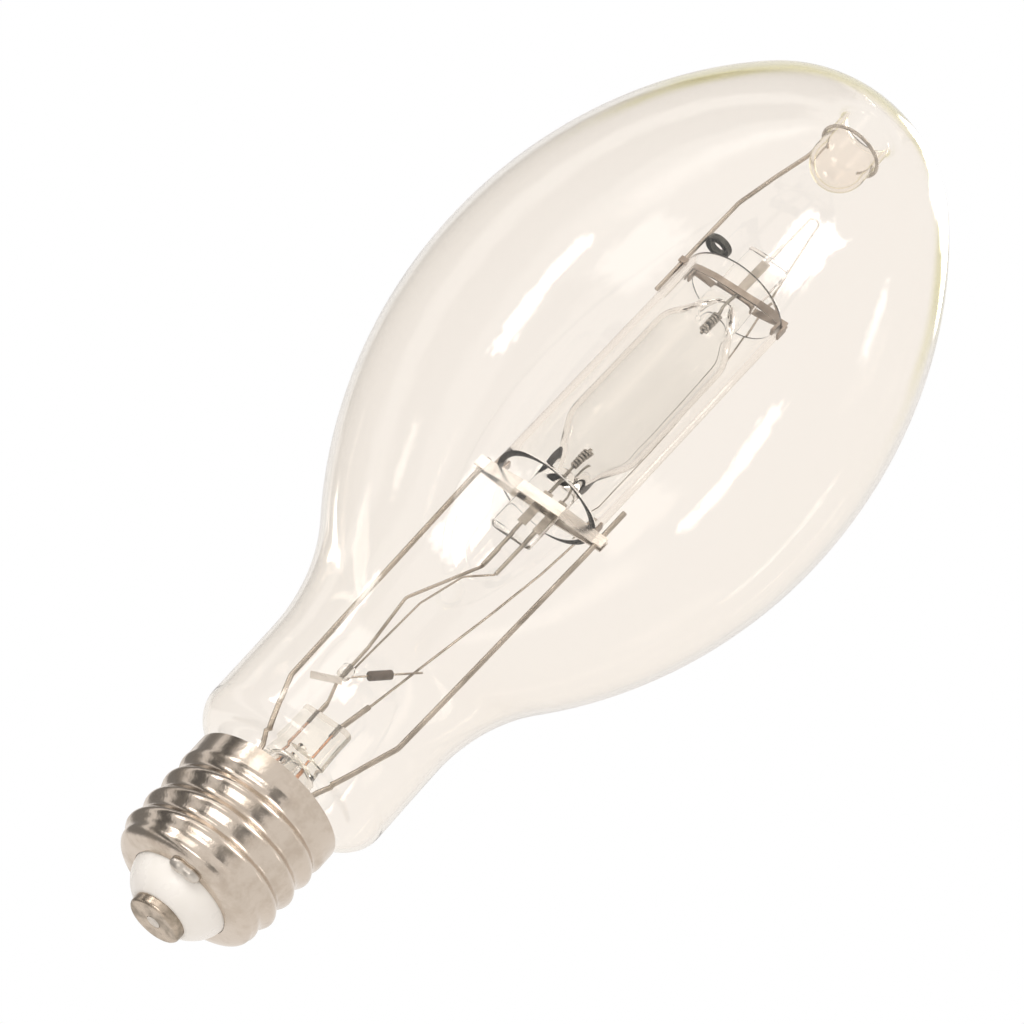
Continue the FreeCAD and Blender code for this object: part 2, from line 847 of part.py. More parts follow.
def arc_tube():
    """Formed quartz arc tube with a pinch seal at each end."""
    end_radius = arc_end_diameter / 2
    cavity = spindle(arc_tube_wall, arc_cavity_radius, cavity_drop(arc_cavity_radius))
    body = spindle(0.0, end_radius, body_drop)
    lower = pinch(pinch_bottom, seal_length + seal_overlap)
    upper = pinch(body_top - seal_overlap, upper_seal_length + seal_overlap)
    glass = body.fuse([lower, upper]).removeSplitter().cut(cavity)
    inside = [electrode(-1), electrode(1), foil(-1), foil(1), seal_lead(-1), seal_lead(1),
              probe(), probe_foil(), probe_seal_lead()]
    return on_mount(glass).cut(inside)


def lower_span():
    """Heights of the lower seal's lead end, foil start and foil end."""
    start = pinch_bottom + foil_cover
    return start - seal_lead_length, start, start + foil_length


def upper_lead_end():
    """Height of the upper seal lead's free end."""
    return barrel_start + barrel_end - lower_span()[1] + upper_lead_length


def mirrored(shape, side):
    """Move a piece of the lower seal to the upper one."""
    if side > 0:
        middle = (barrel_start + barrel_end) / 2
        shape = shape.mirror(V(0, 0, middle), UP)
    return shape


def electrode(side):
    """Tungsten rod with its overwound coil."""
    start = lower_span()[2]
    rod_top = cavity_floor + electrode_reach
    core = electrode_diameter / 2
    lobe = coil_diameter / 2
    shape = Outline(0, start).line(core, start)
    coil_start = rod_top - coil_tip - coil_turns * coil_pitch
    dip = lobe - coil_pitch / 2
    for turn in range(coil_turns):
        low = coil_start + turn * coil_pitch
        shape.line(dip, low)
        shape.arc(dip, low + coil_pitch / 2, coil_pitch / 2, -90, 90)
    shape.line(core, rod_top - coil_tip).line(core, rod_top).line(0, rod_top)
    return on_mount(mirrored(shape.turned(), side))


def foil(side):
    """Molybdenum foil in the seal."""
    start = lower_span()[1]
    leaf = Part.makeBox(foil_width, foil_thickness, foil_length,
                        V(-foil_width / 2, -foil_thickness / 2, start))
    return on_mount(mirrored(leaf, side))


def seal_lead(side):
    """Outer lead of the seal."""
    length = seal_lead_length if side < 0 else upper_lead_length
    start = lower_span()[1] - length
    return on_mount(mirrored(pin(seal_lead_diameter, start, length), side))


def probe():
    """Starting probe beside the lower electrode."""
    start = lower_span()[2]
    points = [mount_point(probe_offset, 0, start), mount_point(probe_offset, 0, start + probe_straight),
              mount_point(probe_tip_offset, 0, cavity_floor + probe_knee),
              mount_point(probe_tip_offset, 0, cavity_floor + probe_reach)]
    return bar(points, probe_diameter, probe_bend)


def probe_foil():
    """Narrower foil on the probe."""
    start = lower_span()[1]
    leaf = Part.makeBox(probe_foil_width, foil_thickness, foil_length,
                        V(probe_offset - probe_foil_width / 2, -foil_thickness / 2, start))
    return on_mount(leaf)


def probe_seal_lead():
    """Outer lead of the probe."""
    return on_mount(pin(seal_lead_diameter, lower_span()[0], seal_lead_length, probe_offset))


# Wires and starting parts

bead_place = V(*bead_offset, press_top + bead_rise)
probe_wire_entry = bead_place + V(*probe_entry_offset)
resistor_wire_entry = bead_place + V(*resistor_entry_offset)
return_loop_height = upper_lead_end() + return_loop_rise


def live_link():
    """Wire from the live post through the bead to the lower seal lead."""
    side = (live_post_diameter + link_diameter) / 2 - weld_sink
    post = stem_point(lead_place(-1), side, press_top + link_post_rise)
    lap = (seal_lead_diameter + link_diameter) / 2 - weld_sink
    low = lower_span()[0]
    points = [post, post + UP * (live_post_height - link_post_rise - link_post_gap),
              bead_place - UP * link_bead_run, bead_place + UP * link_bead_rise,
              V(*link_bow, low - link_bow_drop),
              mount_point(0, lap, low + lead_lap_start), mount_point(0, lap, low + lead_lap)]
    wire = bar(points, link_diameter, link_bend)
    return wire.cut([live_post(), seal_lead(-1)])


def probe_link():
    """Thin wire from the resistor's end at the bead to the probe's seal lead."""
    lap = (seal_lead_diameter + probe_wire_diameter) / 2 - weld_sink
    low = lower_span()[0]
    points = [probe_wire_entry, probe_wire_entry + UP * bead_length,
              V(*probe_bow, low - probe_bow_drop), V(*probe_pass, low - probe_pass_drop),
              mount_point(probe_offset, lap, low + lead_lap_start),
              mount_point(probe_offset, lap, low + lead_lap)]
    wire = bar(points, probe_wire_diameter, probe_wire_bend)
    return wire.cut([probe_seal_lead(), live_link()])


def along(low, high, steps):
    """Heights at shares of a span, each with its value."""
    return [(low + share * (high - low), value) for share, value in steps]


def return_points():
    """Route of the return wire, bowed out in one plane behind the shroud."""
    turn = math.radians(return_bow_angle)
    post = return_post_top()
    side = (return_post_diameter + return_wire_diameter) / 2 - weld_sink
    lean = math.tan(math.radians(mount_lean))
    way = (post - return_post_knee()).normalize()
    weld = post + V(0, side, 0)
    points = [weld - way * return_lap_below, weld + way * return_lap_above]
    beside = [(share, shroud_diameter / 2 + gap) for share, gap in return_gap_beside]
    route = along(post.z, lower_strap_base, return_reach_below) + along(strap_top, shroud_top, beside)
    for height, reach in route + along(shroud_top, return_loop_height, return_reach_above):
        shift = (height - press_top) * lean
        points.append(V(shift + reach * math.cos(turn), reach * math.sin(turn), height))
    lap = (seal_lead_diameter + return_wire_diameter) / 2 - weld_sink
    points.append(mount_point(return_loop_width, lap, return_loop_height))
    points.append(mount_point(0, lap, return_loop_height))
    points.append(mount_point(0, lap, body_top + upper_seal_length + return_end_gap))
    return points


def return_wire():
    """Long wire from the return post over the shroud to the upper seal lead."""
    wire = bar(return_points(), return_wire_diameter, return_wire_bend)
    return wire.cut([return_post(), seal_lead(1)])


def weld_tab():
    """Small tab on the upper seal lead."""
    block = Part.makeBox(weld_tab_width, weld_tab_thickness, weld_tab_height,
                         V(seal_lead_diameter / 2 - weld_sink, -weld_tab_thickness / 2,
                           upper_lead_end() - weld_tab_drop))
    return on_mount(block).cut([seal_lead(1), return_wire()])


def resistor_ends():
    """Ends of the resistor's leads: in the bead, and on the return wire."""
    low, high = return_points()[1:3]
    touch = low + (high - low) * resistor_touch_share
    side = (resistor_wire_diameter + return_wire_diameter) / 2 - weld_sink
    return resistor_wire_entry, touch - V(0, side, 0)


def resistor_body_ends():
    """Ends of the resistor's body, midway along its leads."""
    start, end = resistor_ends()
    half = (end - start).normalize() * (resistor_length / 2)
    centre = (start + end) / 2
    return centre - half, centre + half


def starting_resistor():
    """Resistor body on its two leads."""
    start, end = resistor_body_ends()
    body = Part.makeCylinder(resistor_diameter / 2, resistor_length, start, end - start)
    return body.makeFillet(resistor_edge_round, [edge for edge in body.Edges if len(edge.Vertexes) == 1])


def resistor_lead(side):
    """Lead from the bead, or to the return wire."""
    start, end = resistor_ends()
    low, high = resistor_body_ends()
    radius = resistor_wire_diameter / 2
    if side < 0:
        wire = Part.makeCylinder(radius, (low - start).Length, start, low - start)
        return wire.cut([live_link(), probe_link()])
    length = (end - high).Length + resistor_wire_overrun
    return Part.makeCylinder(radius, length, high, end - high).cut(return_wire())


def insulating_bead():
    """Glass bead that holds the wires apart."""
    radius = bead_diameter / 2
    corner = radius * bead_corner_share
    flat = radius - corner
    half = bead_length / 2
    shape = Outline(0, -half).line(flat, -half).arc(flat, corner - half, corner, -90, 0)
    shape.line(radius, half - corner).arc(flat, half - corner, corner, 0, 90).line(0, half)
    bead = shape.turned()
    bead.translate(bead_place)
    return bead.cut([live_link(), probe_link(), resistor_lead(-1)])


def bimetal_switch():
    """Bimetal strip that shorts the probe once the lamp is hot."""
    leaf = Part.makeBox(bimetal_length + bimetal_overlap, bimetal_thickness, bimetal_width,
                        V(-bimetal_length, -bimetal_thickness, -bimetal_width / 2))
    leaf.rotate(ORIGIN, V(0, -1, 0), bimetal_slope)
    leaf.translate(bead_place + V(0, weld_sink - link_diameter / 2, -bimetal_drop))
    return leaf.cut([live_link(), insulating_bead()])


# Top support

bulb_apex = return_loop_height + dimple_clearance + glass_wall + dimple_depth
ring_height = bulb_apex - ring_drop
dimple_outer = dimple_bore / 2 + glass_wall
ring_radius = dimple_outer + ring_wire_diameter / 2 + fit_gap


def ring_joint():
    """Where the support wire meets the ring."""
    turn = math.radians(ring_joint_direction)
    reach = ring_radius + (ring_wire_diameter + top_wire_diameter) / 2 - weld_sink
    return V(reach * math.cos(turn), reach * math.sin(turn), ring_height)


def top_wire():
    """Support wire from the upper strap to the ring on the dimple."""
    joint = ring_joint()
    points = [mount_point(-top_wire_reach, 0, shroud_top - top_wire_tail),
              mount_point(-top_wire_reach, 0, shroud_top + top_wire_rise),
              joint + V(*top_wire_approach), joint - UP * top_wire_straight,
              joint + UP * top_wire_overrun]
    return bar(points, top_wire_diameter, top_wire_bend)


def dimple_ring():
    """Open spring ring that hugs the dimple."""
    centre = V(ring_radius, 0, ring_height)
    section = Part.Face(Part.Wire(Part.makeCircle(ring_wire_diameter / 2, centre, V(0, 1, 0))))
    section.rotate(ORIGIN, UP, ring_gap_direction + ring_gap_angle / 2)
    ring = section.revolve(ORIGIN, UP, 360 - ring_gap_angle)
    return ring.cut(top_wire())


def getter():
    """Ring getter, a small annular trough welded to the support wire."""
    outer = getter_diameter / 2
    inner = getter_bore / 2
    top = getter_height
    shape = Outline(inner, 0).line(inner + getter_wall, 0).line(inner + getter_wall, top - getter_wall)
    shape.line(outer - getter_wall, top - getter_wall).line(outer - getter_wall, 0).line(outer, 0)
    shape.line(outer, top).line(inner, top)
    ring = shape.turned()
    place = top_wire_reach - top_wire_diameter / 2 - outer + weld_sink
    ring.translate(V(-place, 0, shroud_top + getter_rise))
    return on_mount(ring).cut(top_wire())


def build():
    shell = screw_shell()
    pieces = {
        "screw_shell": shell,
        "insulator": insulator(),
        "centre_contact": centre_contact(),
        "contact_solder": contact_solder(),
        "side_solder": side_solder(),
        "capping_cement": capping_cement(),
        "outer_bulb": outer_bulb(),
        "stem_glass": stem_glass(),
        "exhaust_tube": exhaust_tube(),
        "contact_lead": contact_lead(),
        "shell_lead": shell_lead(),
        "live_seal_wire": seal_wire(-1),
        "return_seal_wire": seal_wire(1),
        "live_post": live_post(),
        "return_post": return_post(),
        "stem_clamp": stem_clamp(),
        "frame_rod_left": frame_rod(-1),
        "frame_rod_right": frame_rod(1),
        "lower_strap_front": lower_strap(-1),
        "lower_strap_back": lower_strap(1),
        "upper_strap_front": upper_strap(-1),
        "upper_strap_back": upper_strap(1),
        "lower_clip_left": shroud_clip(-1, False),
        "lower_clip_right": shroud_clip(1, False),
        "upper_clip_left": shroud_clip(-1, True),
        "upper_clip_right": shroud_clip(1, True),
        "shroud": shroud(),
        "arc_tube": arc_tube(),
        "lower_electrode": electrode(-1),
        "upper_electrode": electrode(1),
        "starting_probe": probe(),
        "lower_foil": foil(-1),
        "upper_foil": foil(1),
        "probe_foil": probe_foil(),
        "lower_seal_lead": seal_lead(-1),
        "upper_seal_lead": seal_lead(1),
        "probe_seal_lead": probe_seal_lead(),
        "live_link": live_link(),
        "probe_link": probe_link(),
        "return_wire": return_wire(),
        "weld_tab": weld_tab(),
        "starting_resistor": starting_resistor(),
        "resistor_lead_lower": resistor_lead(-1),
        "resistor_lead_upper": resistor_lead(1),
        "insulating_bead": insulating_bead(),
        "bimetal_switch": bimetal_switch(),
        "top_wire": top_wire(),
        "dimple_ring": dimple_ring(),
        "getter": getter(),
    }
    os.makedirs("parts", exist_ok=True)
    for name, shape in pieces.items():
        shape.exportStep(os.path.join("parts", name + ".step"))
    return pieces


build()
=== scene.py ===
"""Dressed model of a clear high intensity discharge lamp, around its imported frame.

The lamp stands base down on +Z with its contact tip at the origin. Sizes in the
classes are real sizes in millimetres, and meshes are written in metres.
"""

import json
import logging
import math
from dataclasses import dataclass
from enum import Enum
from typing import Sequence

import bmesh
import bpy
from mathutils import Matrix, Vector


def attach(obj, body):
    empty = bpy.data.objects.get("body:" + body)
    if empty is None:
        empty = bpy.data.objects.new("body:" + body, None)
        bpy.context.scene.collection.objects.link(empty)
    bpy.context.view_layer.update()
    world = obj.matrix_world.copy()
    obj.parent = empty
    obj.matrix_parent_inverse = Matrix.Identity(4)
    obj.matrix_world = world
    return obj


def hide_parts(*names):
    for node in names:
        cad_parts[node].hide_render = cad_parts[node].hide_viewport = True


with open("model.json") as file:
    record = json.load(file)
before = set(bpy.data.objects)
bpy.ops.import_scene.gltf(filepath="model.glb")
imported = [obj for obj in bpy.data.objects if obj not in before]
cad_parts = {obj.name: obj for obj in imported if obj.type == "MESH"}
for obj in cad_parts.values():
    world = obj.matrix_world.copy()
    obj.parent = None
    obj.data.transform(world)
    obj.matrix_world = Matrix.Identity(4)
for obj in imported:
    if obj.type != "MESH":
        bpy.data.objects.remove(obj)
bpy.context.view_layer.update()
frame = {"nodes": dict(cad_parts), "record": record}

LOG = logging.getLogger("lamp")
MM = 0.001
PERCENT = 100.0
SAME_PLACE = 1e-3
SAME_POINT = 1e-4
ON_AXIS = 1e-6
BUMP_DEPTH = 0.001
BROAD_NOISE = {"Detail": 4.0, "Roughness": 0.6}
FINE_NOISE = {"Detail": 2.0, "Roughness": 0.5}
RAGGED_NOISE = {"Detail": 2.0, "Roughness": 0.6}
FINE_RATIO = 7.0
BROAD_SHARE = 0.7
DULL_RANGE = (0.40, 0.68)
COIL_STEPS = 28
COIL_SIDES = 12
GLASS_CREASE = 60.0
PRESSED_CREASE = 50.0
RIM_BLEND = 14.0
RIM_FACING = (0.66, 0.79)
ROOT = "root"
Point = tuple[float, float]
Colour = tuple[float, float, float]


class Facing(Enum):
    """Which way the faces of a closed surface look."""

    OUT = 1
    IN = -1


class End(Enum):
    """Which end of the arc tube a piece belongs to."""

    LOWER = 1
    UPPER = -1


def smoothstep(share: float) -> float:
    """Ease a share from 0 to 1.

    Args:
        share: any number, held to 0 and 1.

    Returns:
        The eased share.
    """
    share = min(max(share, 0.0), 1.0)
    return share * share * (3.0 - 2.0 * share)


def heading(start: Point, stop: Point) -> float:
    """Give the direction from one point to another.

    Args:
        start: radius and height of the first point.
        stop: radius and height of the second point.

    Returns:
        The angle in degrees from the radius' direction.
    """
    return math.degrees(math.atan2(stop[1] - start[1], stop[0] - start[0]))


class Profile:
    """A turned outline: radius and height in millimetres, from point to point."""

    def __init__(self, r: float, z: float) -> None:
        """Start the outline.

        Args:
            r: radius of the first point.
            z: height of the first point.
        """
        self.points: list[Point] = [(r, z)]

    def line(self, r: float, z: float, steps: int = 1) -> "Profile":
        """Add a straight run in equal steps.

        Args:
            r: radius at the run's end.
            z: height at the run's end.
            steps: number of steps.

        Returns:
            The outline.
        """
        r0, z0 = self.points[-1]
        for step in range(1, steps + 1):
            share = step / steps
            self.points.append((r0 + (r - r0) * share, z0 + (z - z0) * share))
        return self

    def arc(self, centre: Point, radius: float, start: float, stop: float,
            pace: float) -> "Profile":
        """Add an arc.

        Args:
            centre: radius and height of the arc's centre.
            radius: the arc's radius.
            start: first angle in degrees.
            stop: last angle in degrees.
            pace: greatest length of a step along the arc.

        Returns:
            The outline.
        """
        length = abs(math.radians(stop - start)) * radius
        steps = max(3, math.ceil(length / pace))
        for step in range(steps + 1):
            turn = math.radians(start + (stop - start) * step / steps)
            point = (centre[0] + radius * math.cos(turn), centre[1] + radius * math.sin(turn))
            if math.dist(point, self.points[-1]) > SAME_POINT:
                self.points.append(point)
        return self


@dataclass(frozen=True)
class Mount:
    """Place of the arc tube's mount, turned about the lamp's axis and leaning a little."""

    turn: float = -19.5
    lean: float = 1.1
    lean_height: float = 63.0

    def matrix(self) -> Matrix:
        """Place the mount.

        Returns:
            The move from upright millimetres to the mount's place in metres.
        """
        turn = Matrix.Rotation(math.radians(self.turn), 4, "Z")
        lean = Matrix.Rotation(math.radians(self.lean), 4, "Y")
        pivot = Matrix.Translation((0, 0, self.lean_height))
        return Matrix.Scale(MM, 4) @ pivot @ lean @ pivot.inverted() @ turn


UPRIGHT = Matrix.Scale(MM, 4)
MOUNT = Mount()


class Surface:
    """Collects rings of points and closes them to a mesh."""

    def __init__(self) -> None:
        """Start an empty mesh."""
        self.mesh = bmesh.new()

    def skin(self, rings: Sequence[Sequence[Vector]], facing: Facing, closed: bool = False) -> None:
        """Join rings in order to one closed surface.

        Args:
            rings: rings of equal count, or of one point at a pole.
            facing: the way its faces look.
            closed: True joins the last ring to the first.
        """
        made = [[self.mesh.verts.new(point) for point in ring] for ring in rings]
        pairs = list(zip(made, made[1:]))
        if closed:
            pairs.append((made[-1], made[0]))
        faces = []
        for low, high in pairs:
            count = max(len(low), len(high))
            for place in range(count):
                after = (place + 1) % count
                corners = [low[place % len(low)], low[after % len(low)], high[after % len(high)],
                           high[place % len(high)]]
                corners = list(dict.fromkeys(corners))
                if len(corners) > 2:
                    faces.append(self.mesh.faces.new(corners))
        volume = 0.0
        for face in faces:
            first = face.verts[0].co
            for one, two in zip(face.verts[1:], face.verts[2:]):
                volume += first.dot(one.co.cross(two.co))
        if volume * facing.value < 0:
            bmesh.ops.reverse_faces(self.mesh, faces=faces)

    def piece(self, name: str, crease: float = 35.0) -> bpy.types.Object:
        """Make the object, smooth but for edges sharper than the crease angle.

        Args:
            name: the piece's name.
            crease: angle in degrees.

        Returns:
            The object, linked to the scene.
        """
        data = bpy.data.meshes.new(name)
        self.mesh.to_mesh(data)
        self.mesh.free()
        data.shade_smooth()
        data.set_sharp_from_angle(angle=math.radians(crease))
        made = bpy.data.objects.new(name, data)
        bpy.context.scene.collection.objects.link(made)
        return made


def turned_rings(points: Sequence[Point], around: int, place: Matrix) -> list[list[Vector]]:
    """Turn an outline about its axis.

    Args:
        points: radius and height of each point.
        around: points on each ring.
        place: move applied to every point.

    Returns:
        A ring for each point, of one vector where the outline meets the axis.
    """
    rings = []
    for r, z in points:
        if abs(r) < ON_AXIS:
            rings.append([place @ Vector((0, 0, z))])
            continue
        ring = []
        for step in range(around):
            turn = 2 * math.pi * step / around
            ring.append(place @ Vector((r * math.cos(turn), r * math.sin(turn), z)))
        rings.append(ring)
    return rings


class Tree:
    """Small builder for node trees."""

    def __init__(self, tree: bpy.types.NodeTree) -> None:
        """Hold the tree and empty it.

        Args:
            tree: the tree to fill.
        """
        self.tree = tree
        tree.nodes.clear()

    def node(self, kind: str, inputs: dict | None = None, **settings: object) -> bpy.types.Node:
        """Add a node.

        Args:
            kind: the node's type.
            inputs: a value or an output socket for each input, by name or number.
            settings: the node's own settings.

        Returns:
            The node.
        """
        node = self.tree.nodes.new(kind)
        for name, value in settings.items():
            setattr(node, name, value)
        for key, value in (inputs or {}).items():
            if isinstance(value, bpy.types.NodeSocket):
                self.tree.links.new(value, node.inputs[key])
            else:
                node.inputs[key].default_value = value
        return node

    def math(self, operation: str, *values: object) -> bpy.types.NodeSocket:
        """Add a math node.

        Args:
            operation: what the node does.
            values: up to three numbers or output sockets.

        Returns:
            The result.
        """
        node = self.node("ShaderNodeMath", dict(enumerate(values)), operation=operation)
        return node.outputs[0]


def uneven_finish() -> bpy.types.NodeTree:
    """Build the shared shader group for slight unevenness.

    Returns:
        A group with a colour, a roughness and a height that wander over the surface.
    """
    name = "uneven_finish"
    if name in bpy.data.node_groups:
        return bpy.data.node_groups[name]
    group = bpy.data.node_groups.new(name, "ShaderNodeTree")
    for socket, kind in (("Scale", "NodeSocketFloat"), ("Stretch", "NodeSocketVector"),
                         ("Clean Colour", "NodeSocketColor"),
                         ("Dull Colour", "NodeSocketColor"),
                         ("Dull Share", "NodeSocketFloat"), ("Polish", "NodeSocketFloat"),
                         ("Dullness", "NodeSocketFloat")):
        group.interface.new_socket(socket, in_out="INPUT", socket_type=kind)
    for socket, kind in (("Colour", "NodeSocketColor"), ("Roughness", "NodeSocketFloat"),
                         ("Height", "NodeSocketFloat")):
        group.interface.new_socket(socket, in_out="OUTPUT", socket_type=kind)
    tree = Tree(group)
    given = tree.node("NodeGroupInput").outputs
    where = tree.node("ShaderNodeTexCoord").outputs["Object"]
    place = tree.node("ShaderNodeMapping", {"Vector": where, "Scale": given["Stretch"]})
    broad = tree.node("ShaderNodeTexNoise", {
        "Vector": place.outputs[0], "Scale": given["Scale"], **BROAD_NOISE})
    fine_scale = tree.math("MULTIPLY", given["Scale"], FINE_RATIO)
    fine = tree.node("ShaderNodeTexNoise", {
        "Vector": place.outputs[0], "Scale": fine_scale, **FINE_NOISE})
    spread = tree.node("ShaderNodeMapRange", {
        "Value": broad.outputs["Fac"], "From Min": DULL_RANGE[0], "From Max": DULL_RANGE[1]},
        interpolation_type="SMOOTHSTEP")
    mask = tree.math("MULTIPLY", spread.outputs[0], given["Dull Share"])
    colour = tree.node("ShaderNodeMix", {0: mask, 6: given["Clean Colour"],
                                         7: given["Dull Colour"]}, data_type="RGBA")
    rough = tree.node("ShaderNodeMix", {0: mask, 2: given["Polish"], 3: given["Dullness"]})
    height = tree.math("ADD", tree.math("MULTIPLY", broad.outputs["Fac"], BROAD_SHARE),
                       tree.math("MULTIPLY", fine.outputs["Fac"], 1.0 - BROAD_SHARE))
    tree.node("NodeGroupOutput", {"Colour": colour.outputs[2], "Roughness": rough.outputs[0],
                                  "Height": height})
    return group


@dataclass(frozen=True)
class Finish:
    """A finish with a little unevenness in its colour, gloss and surface."""

    name: str
    clean: Colour
    dull: Colour
    dull_share: float = 0.6
    polish: float = 0.25
    dullness: float = 0.45
    metallic: float = 1.0
    scale: float = 220.0
    stretch: Colour = (1.0, 1.0, 1.0)
    bump: float = 0.02
    ior: float = 1.5

    def material(self) -> bpy.types.Material:
        """Make the material, or give the one already made.

        Returns:
            The material.
        """
        title = self.name + "_finish"
        if title in bpy.data.materials:
            return bpy.data.materials[title]
        made = bpy.data.materials.new(title)
        made.use_nodes = True
        tree = Tree(made.node_tree)
        wear = tree.node("ShaderNodeGroup", node_tree=uneven_finish())
        wear.inputs["Scale"].default_value = self.scale
        wear.inputs["Stretch"].default_value = self.stretch
        wear.inputs["Clean Colour"].default_value = (*self.clean, 1.0)
        wear.inputs["Dull Colour"].default_value = (*self.dull, 1.0)
        wear.inputs["Dull Share"].default_value = self.dull_share
        wear.inputs["Polish"].default_value = self.polish
        wear.inputs["Dullness"].default_value = self.dullness
        bump = tree.node("ShaderNodeBump", {
            "Height": wear.outputs["Height"], "Strength": self.bump, "Distance": BUMP_DEPTH})
        shader = tree.node("ShaderNodeBsdfPrincipled", {
            "Base Color": wear.outputs["Colour"], "Roughness": wear.outputs["Roughness"],
            "Metallic": self.metallic, "IOR": self.ior, "Normal": bump.outputs[0]})
        tree.node("ShaderNodeOutputMaterial", {"Surface": shader.outputs[0]})
        return made


@dataclass(frozen=True)
class GlassFinish:
    """Clear glass with faint waves from blowing or drawing.

    Between its rim heights, in millimetres, it takes the rim colour where it is seen edge on.
    """

    name: str
    tint: Colour
    edge: Colour = (0.55, 0.53, 0.08)
    density: float = 20.0
    ior: float = 1.47
    roughness: float = 0.0
    wave_scale: float = 18.0
    stretch: Colour = (1.0, 1.0, 0.35)
    waves: float = 0.02
    rim: Colour = (1.0, 1.0, 1.0)
    rim_heights: Point = (0.0, 0.0)

    def material(self) -> bpy.types.Material:
        """Make the material, or give the one already made.

        Returns:
            The material.
        """
        title = self.name + "_finish"
        if title in bpy.data.materials:
            return bpy.data.materials[title]
        made = bpy.data.materials.new(title)
        made.use_nodes = True
        tree = Tree(made.node_tree)
        waves = tree.node("ShaderNodeGroup", node_tree=uneven_finish())
        waves.inputs["Scale"].default_value = self.wave_scale
        waves.inputs["Stretch"].default_value = self.stretch
        bump = tree.node("ShaderNodeBump", {
            "Height": waves.outputs["Height"], "Strength": self.waves, "Distance": BUMP_DEPTH})
        shader = tree.node("ShaderNodeBsdfPrincipled", {
            "Base Color": (*self.tint, 1.0), "Roughness": self.roughness, "Metallic": 0.0,
            "IOR": self.ior, "Transmission Weight": 1.0, "Normal": bump.outputs[0]})
        if self.rim_heights[1] > self.rim_heights[0]:
            tree.tree.links.new(self.rim_colour(tree), shader.inputs["Base Color"])
        volume = tree.node("ShaderNodeVolumeAbsorption", {"Color": (*self.edge, 1.0),
                                                          "Density": self.density})
        tree.node("ShaderNodeOutputMaterial", {"Surface": shader.outputs[0],
                                               "Volume": volume.outputs[0]})
        return made

    def rim_colour(self, tree: Tree) -> bpy.types.NodeSocket:
        """Deepen the tint where a band of the glass is seen edge on, as thick glass does.

        Args:
            tree: the material's tree.

        Returns:
            The tint.
        """
        where = tree.node("ShaderNodeTexCoord").outputs["Object"]
        height = tree.node("ShaderNodeSeparateXYZ", {0: where}).outputs["Z"]
        low, high = (value * MM for value in self.rim_heights)
        into = tree.node("ShaderNodeMapRange", {"Value": height, "From Min": low,
                                                "From Max": low + RIM_BLEND * MM},
                         interpolation_type="SMOOTHSTEP")
        out = tree.node("ShaderNodeMapRange", {
            "Value": height, "From Min": high - RIM_BLEND * MM, "From Max": high, "To Min": 1.0,
            "To Max": 0.0}, interpolation_type="SMOOTHSTEP")
        facing = tree.node("ShaderNodeLayerWeight", {"Blend": 0.5}).outputs["Facing"]
        edge_on = tree.node("ShaderNodeMapRange", {"Value": facing, "From Min": RIM_FACING[0],
                                                   "From Max": RIM_FACING[1]},
                            interpolation_type="SMOOTHSTEP")
        band = tree.math("MULTIPLY", into.outputs[0], out.outputs[0])
        share = tree.math("MULTIPLY", band, edge_on.outputs[0])
        return tree.node("ShaderNodeMix", {0: share, 6: (*self.tint, 1.0), 7: (*self.rim, 1.0)},
                         data_type="RGBA").outputs[2]


BULB_GLASS = GlassFinish("bulb_glass", (0.981, 0.947, 0.918), rim=(0.70, 0.65, 0.30),
                         rim_heights=(222.0, 285.0))
STEM_GLASS = GlassFinish("lead_glass", (0.95, 0.94, 0.92), density=8.0, ior=1.52,
                         wave_scale=90.0, waves=0.06)
QUARTZ = GlassFinish("quartz", (1.0, 0.996, 0.988), density=2.0, ior=1.28, wave_scale=40.0,
                     waves=0.03)
NICKEL_SHELL = Finish("nickel_plate", (0.66, 0.58, 0.50), (0.50, 0.42, 0.34), polish=0.17,
                      dullness=0.34, scale=160.0, bump=0.10)
WHITE_GLASS = Finish("white_glass", (0.92, 0.88, 0.83), (0.88, 0.84, 0.78), metallic=0.0,
                     polish=0.25, dullness=0.45, scale=130.0, bump=0.04)
CONTACT_BRASS = Finish("contact_brass", (0.56, 0.47, 0.38), (0.26, 0.22, 0.17), dull_share=0.9,
                       scale=190.0, bump=0.08)
SOLDER = Finish("solder", (0.68, 0.63, 0.57), (0.50, 0.46, 0.41), polish=0.35, scale=420.0,
                bump=0.12)
CEMENT = Finish("cement", (0.56, 0.50, 0.43), (0.42, 0.37, 0.32), metallic=0.0, polish=0.8,
                dullness=0.95, scale=500.0, bump=0.2)
COPPER = Finish("copper", (0.80, 0.42, 0.24), (0.52, 0.26, 0.15), scale=500.0)
NICKEL_WIRE = Finish("nickel_wire", (0.54, 0.49, 0.43), (0.30, 0.26, 0.22), dull_share=0.8,
                     scale=300.0, stretch=(1.0, 1.0, 0.25))
STRIP_STEEL = Finish("strip_steel", (0.80, 0.77, 0.73), (0.52, 0.47, 0.42), polish=0.2,
                     dullness=0.4, scale=240.0, stretch=(0.3, 0.3, 1.0))
# A darker brown steel, given to the upper straps and the clips in place of the lower strap's bright
# steel.
DARK_BROWN_STEEL = Finish("browned_steel", (0.34, 0.29, 0.25), (0.20, 0.16, 0.13), polish=0.3,
                       dullness=0.5, scale=240.0)
TUNGSTEN = Finish("tungsten", (0.50, 0.47, 0.43), (0.30, 0.28, 0.26), polish=0.4, dullness=0.6,
                  scale=700.0, bump=0.1)
MOLYBDENUM = Finish("molybdenum", (0.56, 0.52, 0.47), (0.38, 0.35, 0.31), polish=0.35,
                    dullness=0.55, scale=400.0)
RESISTOR = Finish("resistor_body", (0.22, 0.18, 0.15), (0.12, 0.10, 0.08), metallic=0.0,
                  polish=0.4, dullness=0.6, scale=500.0)
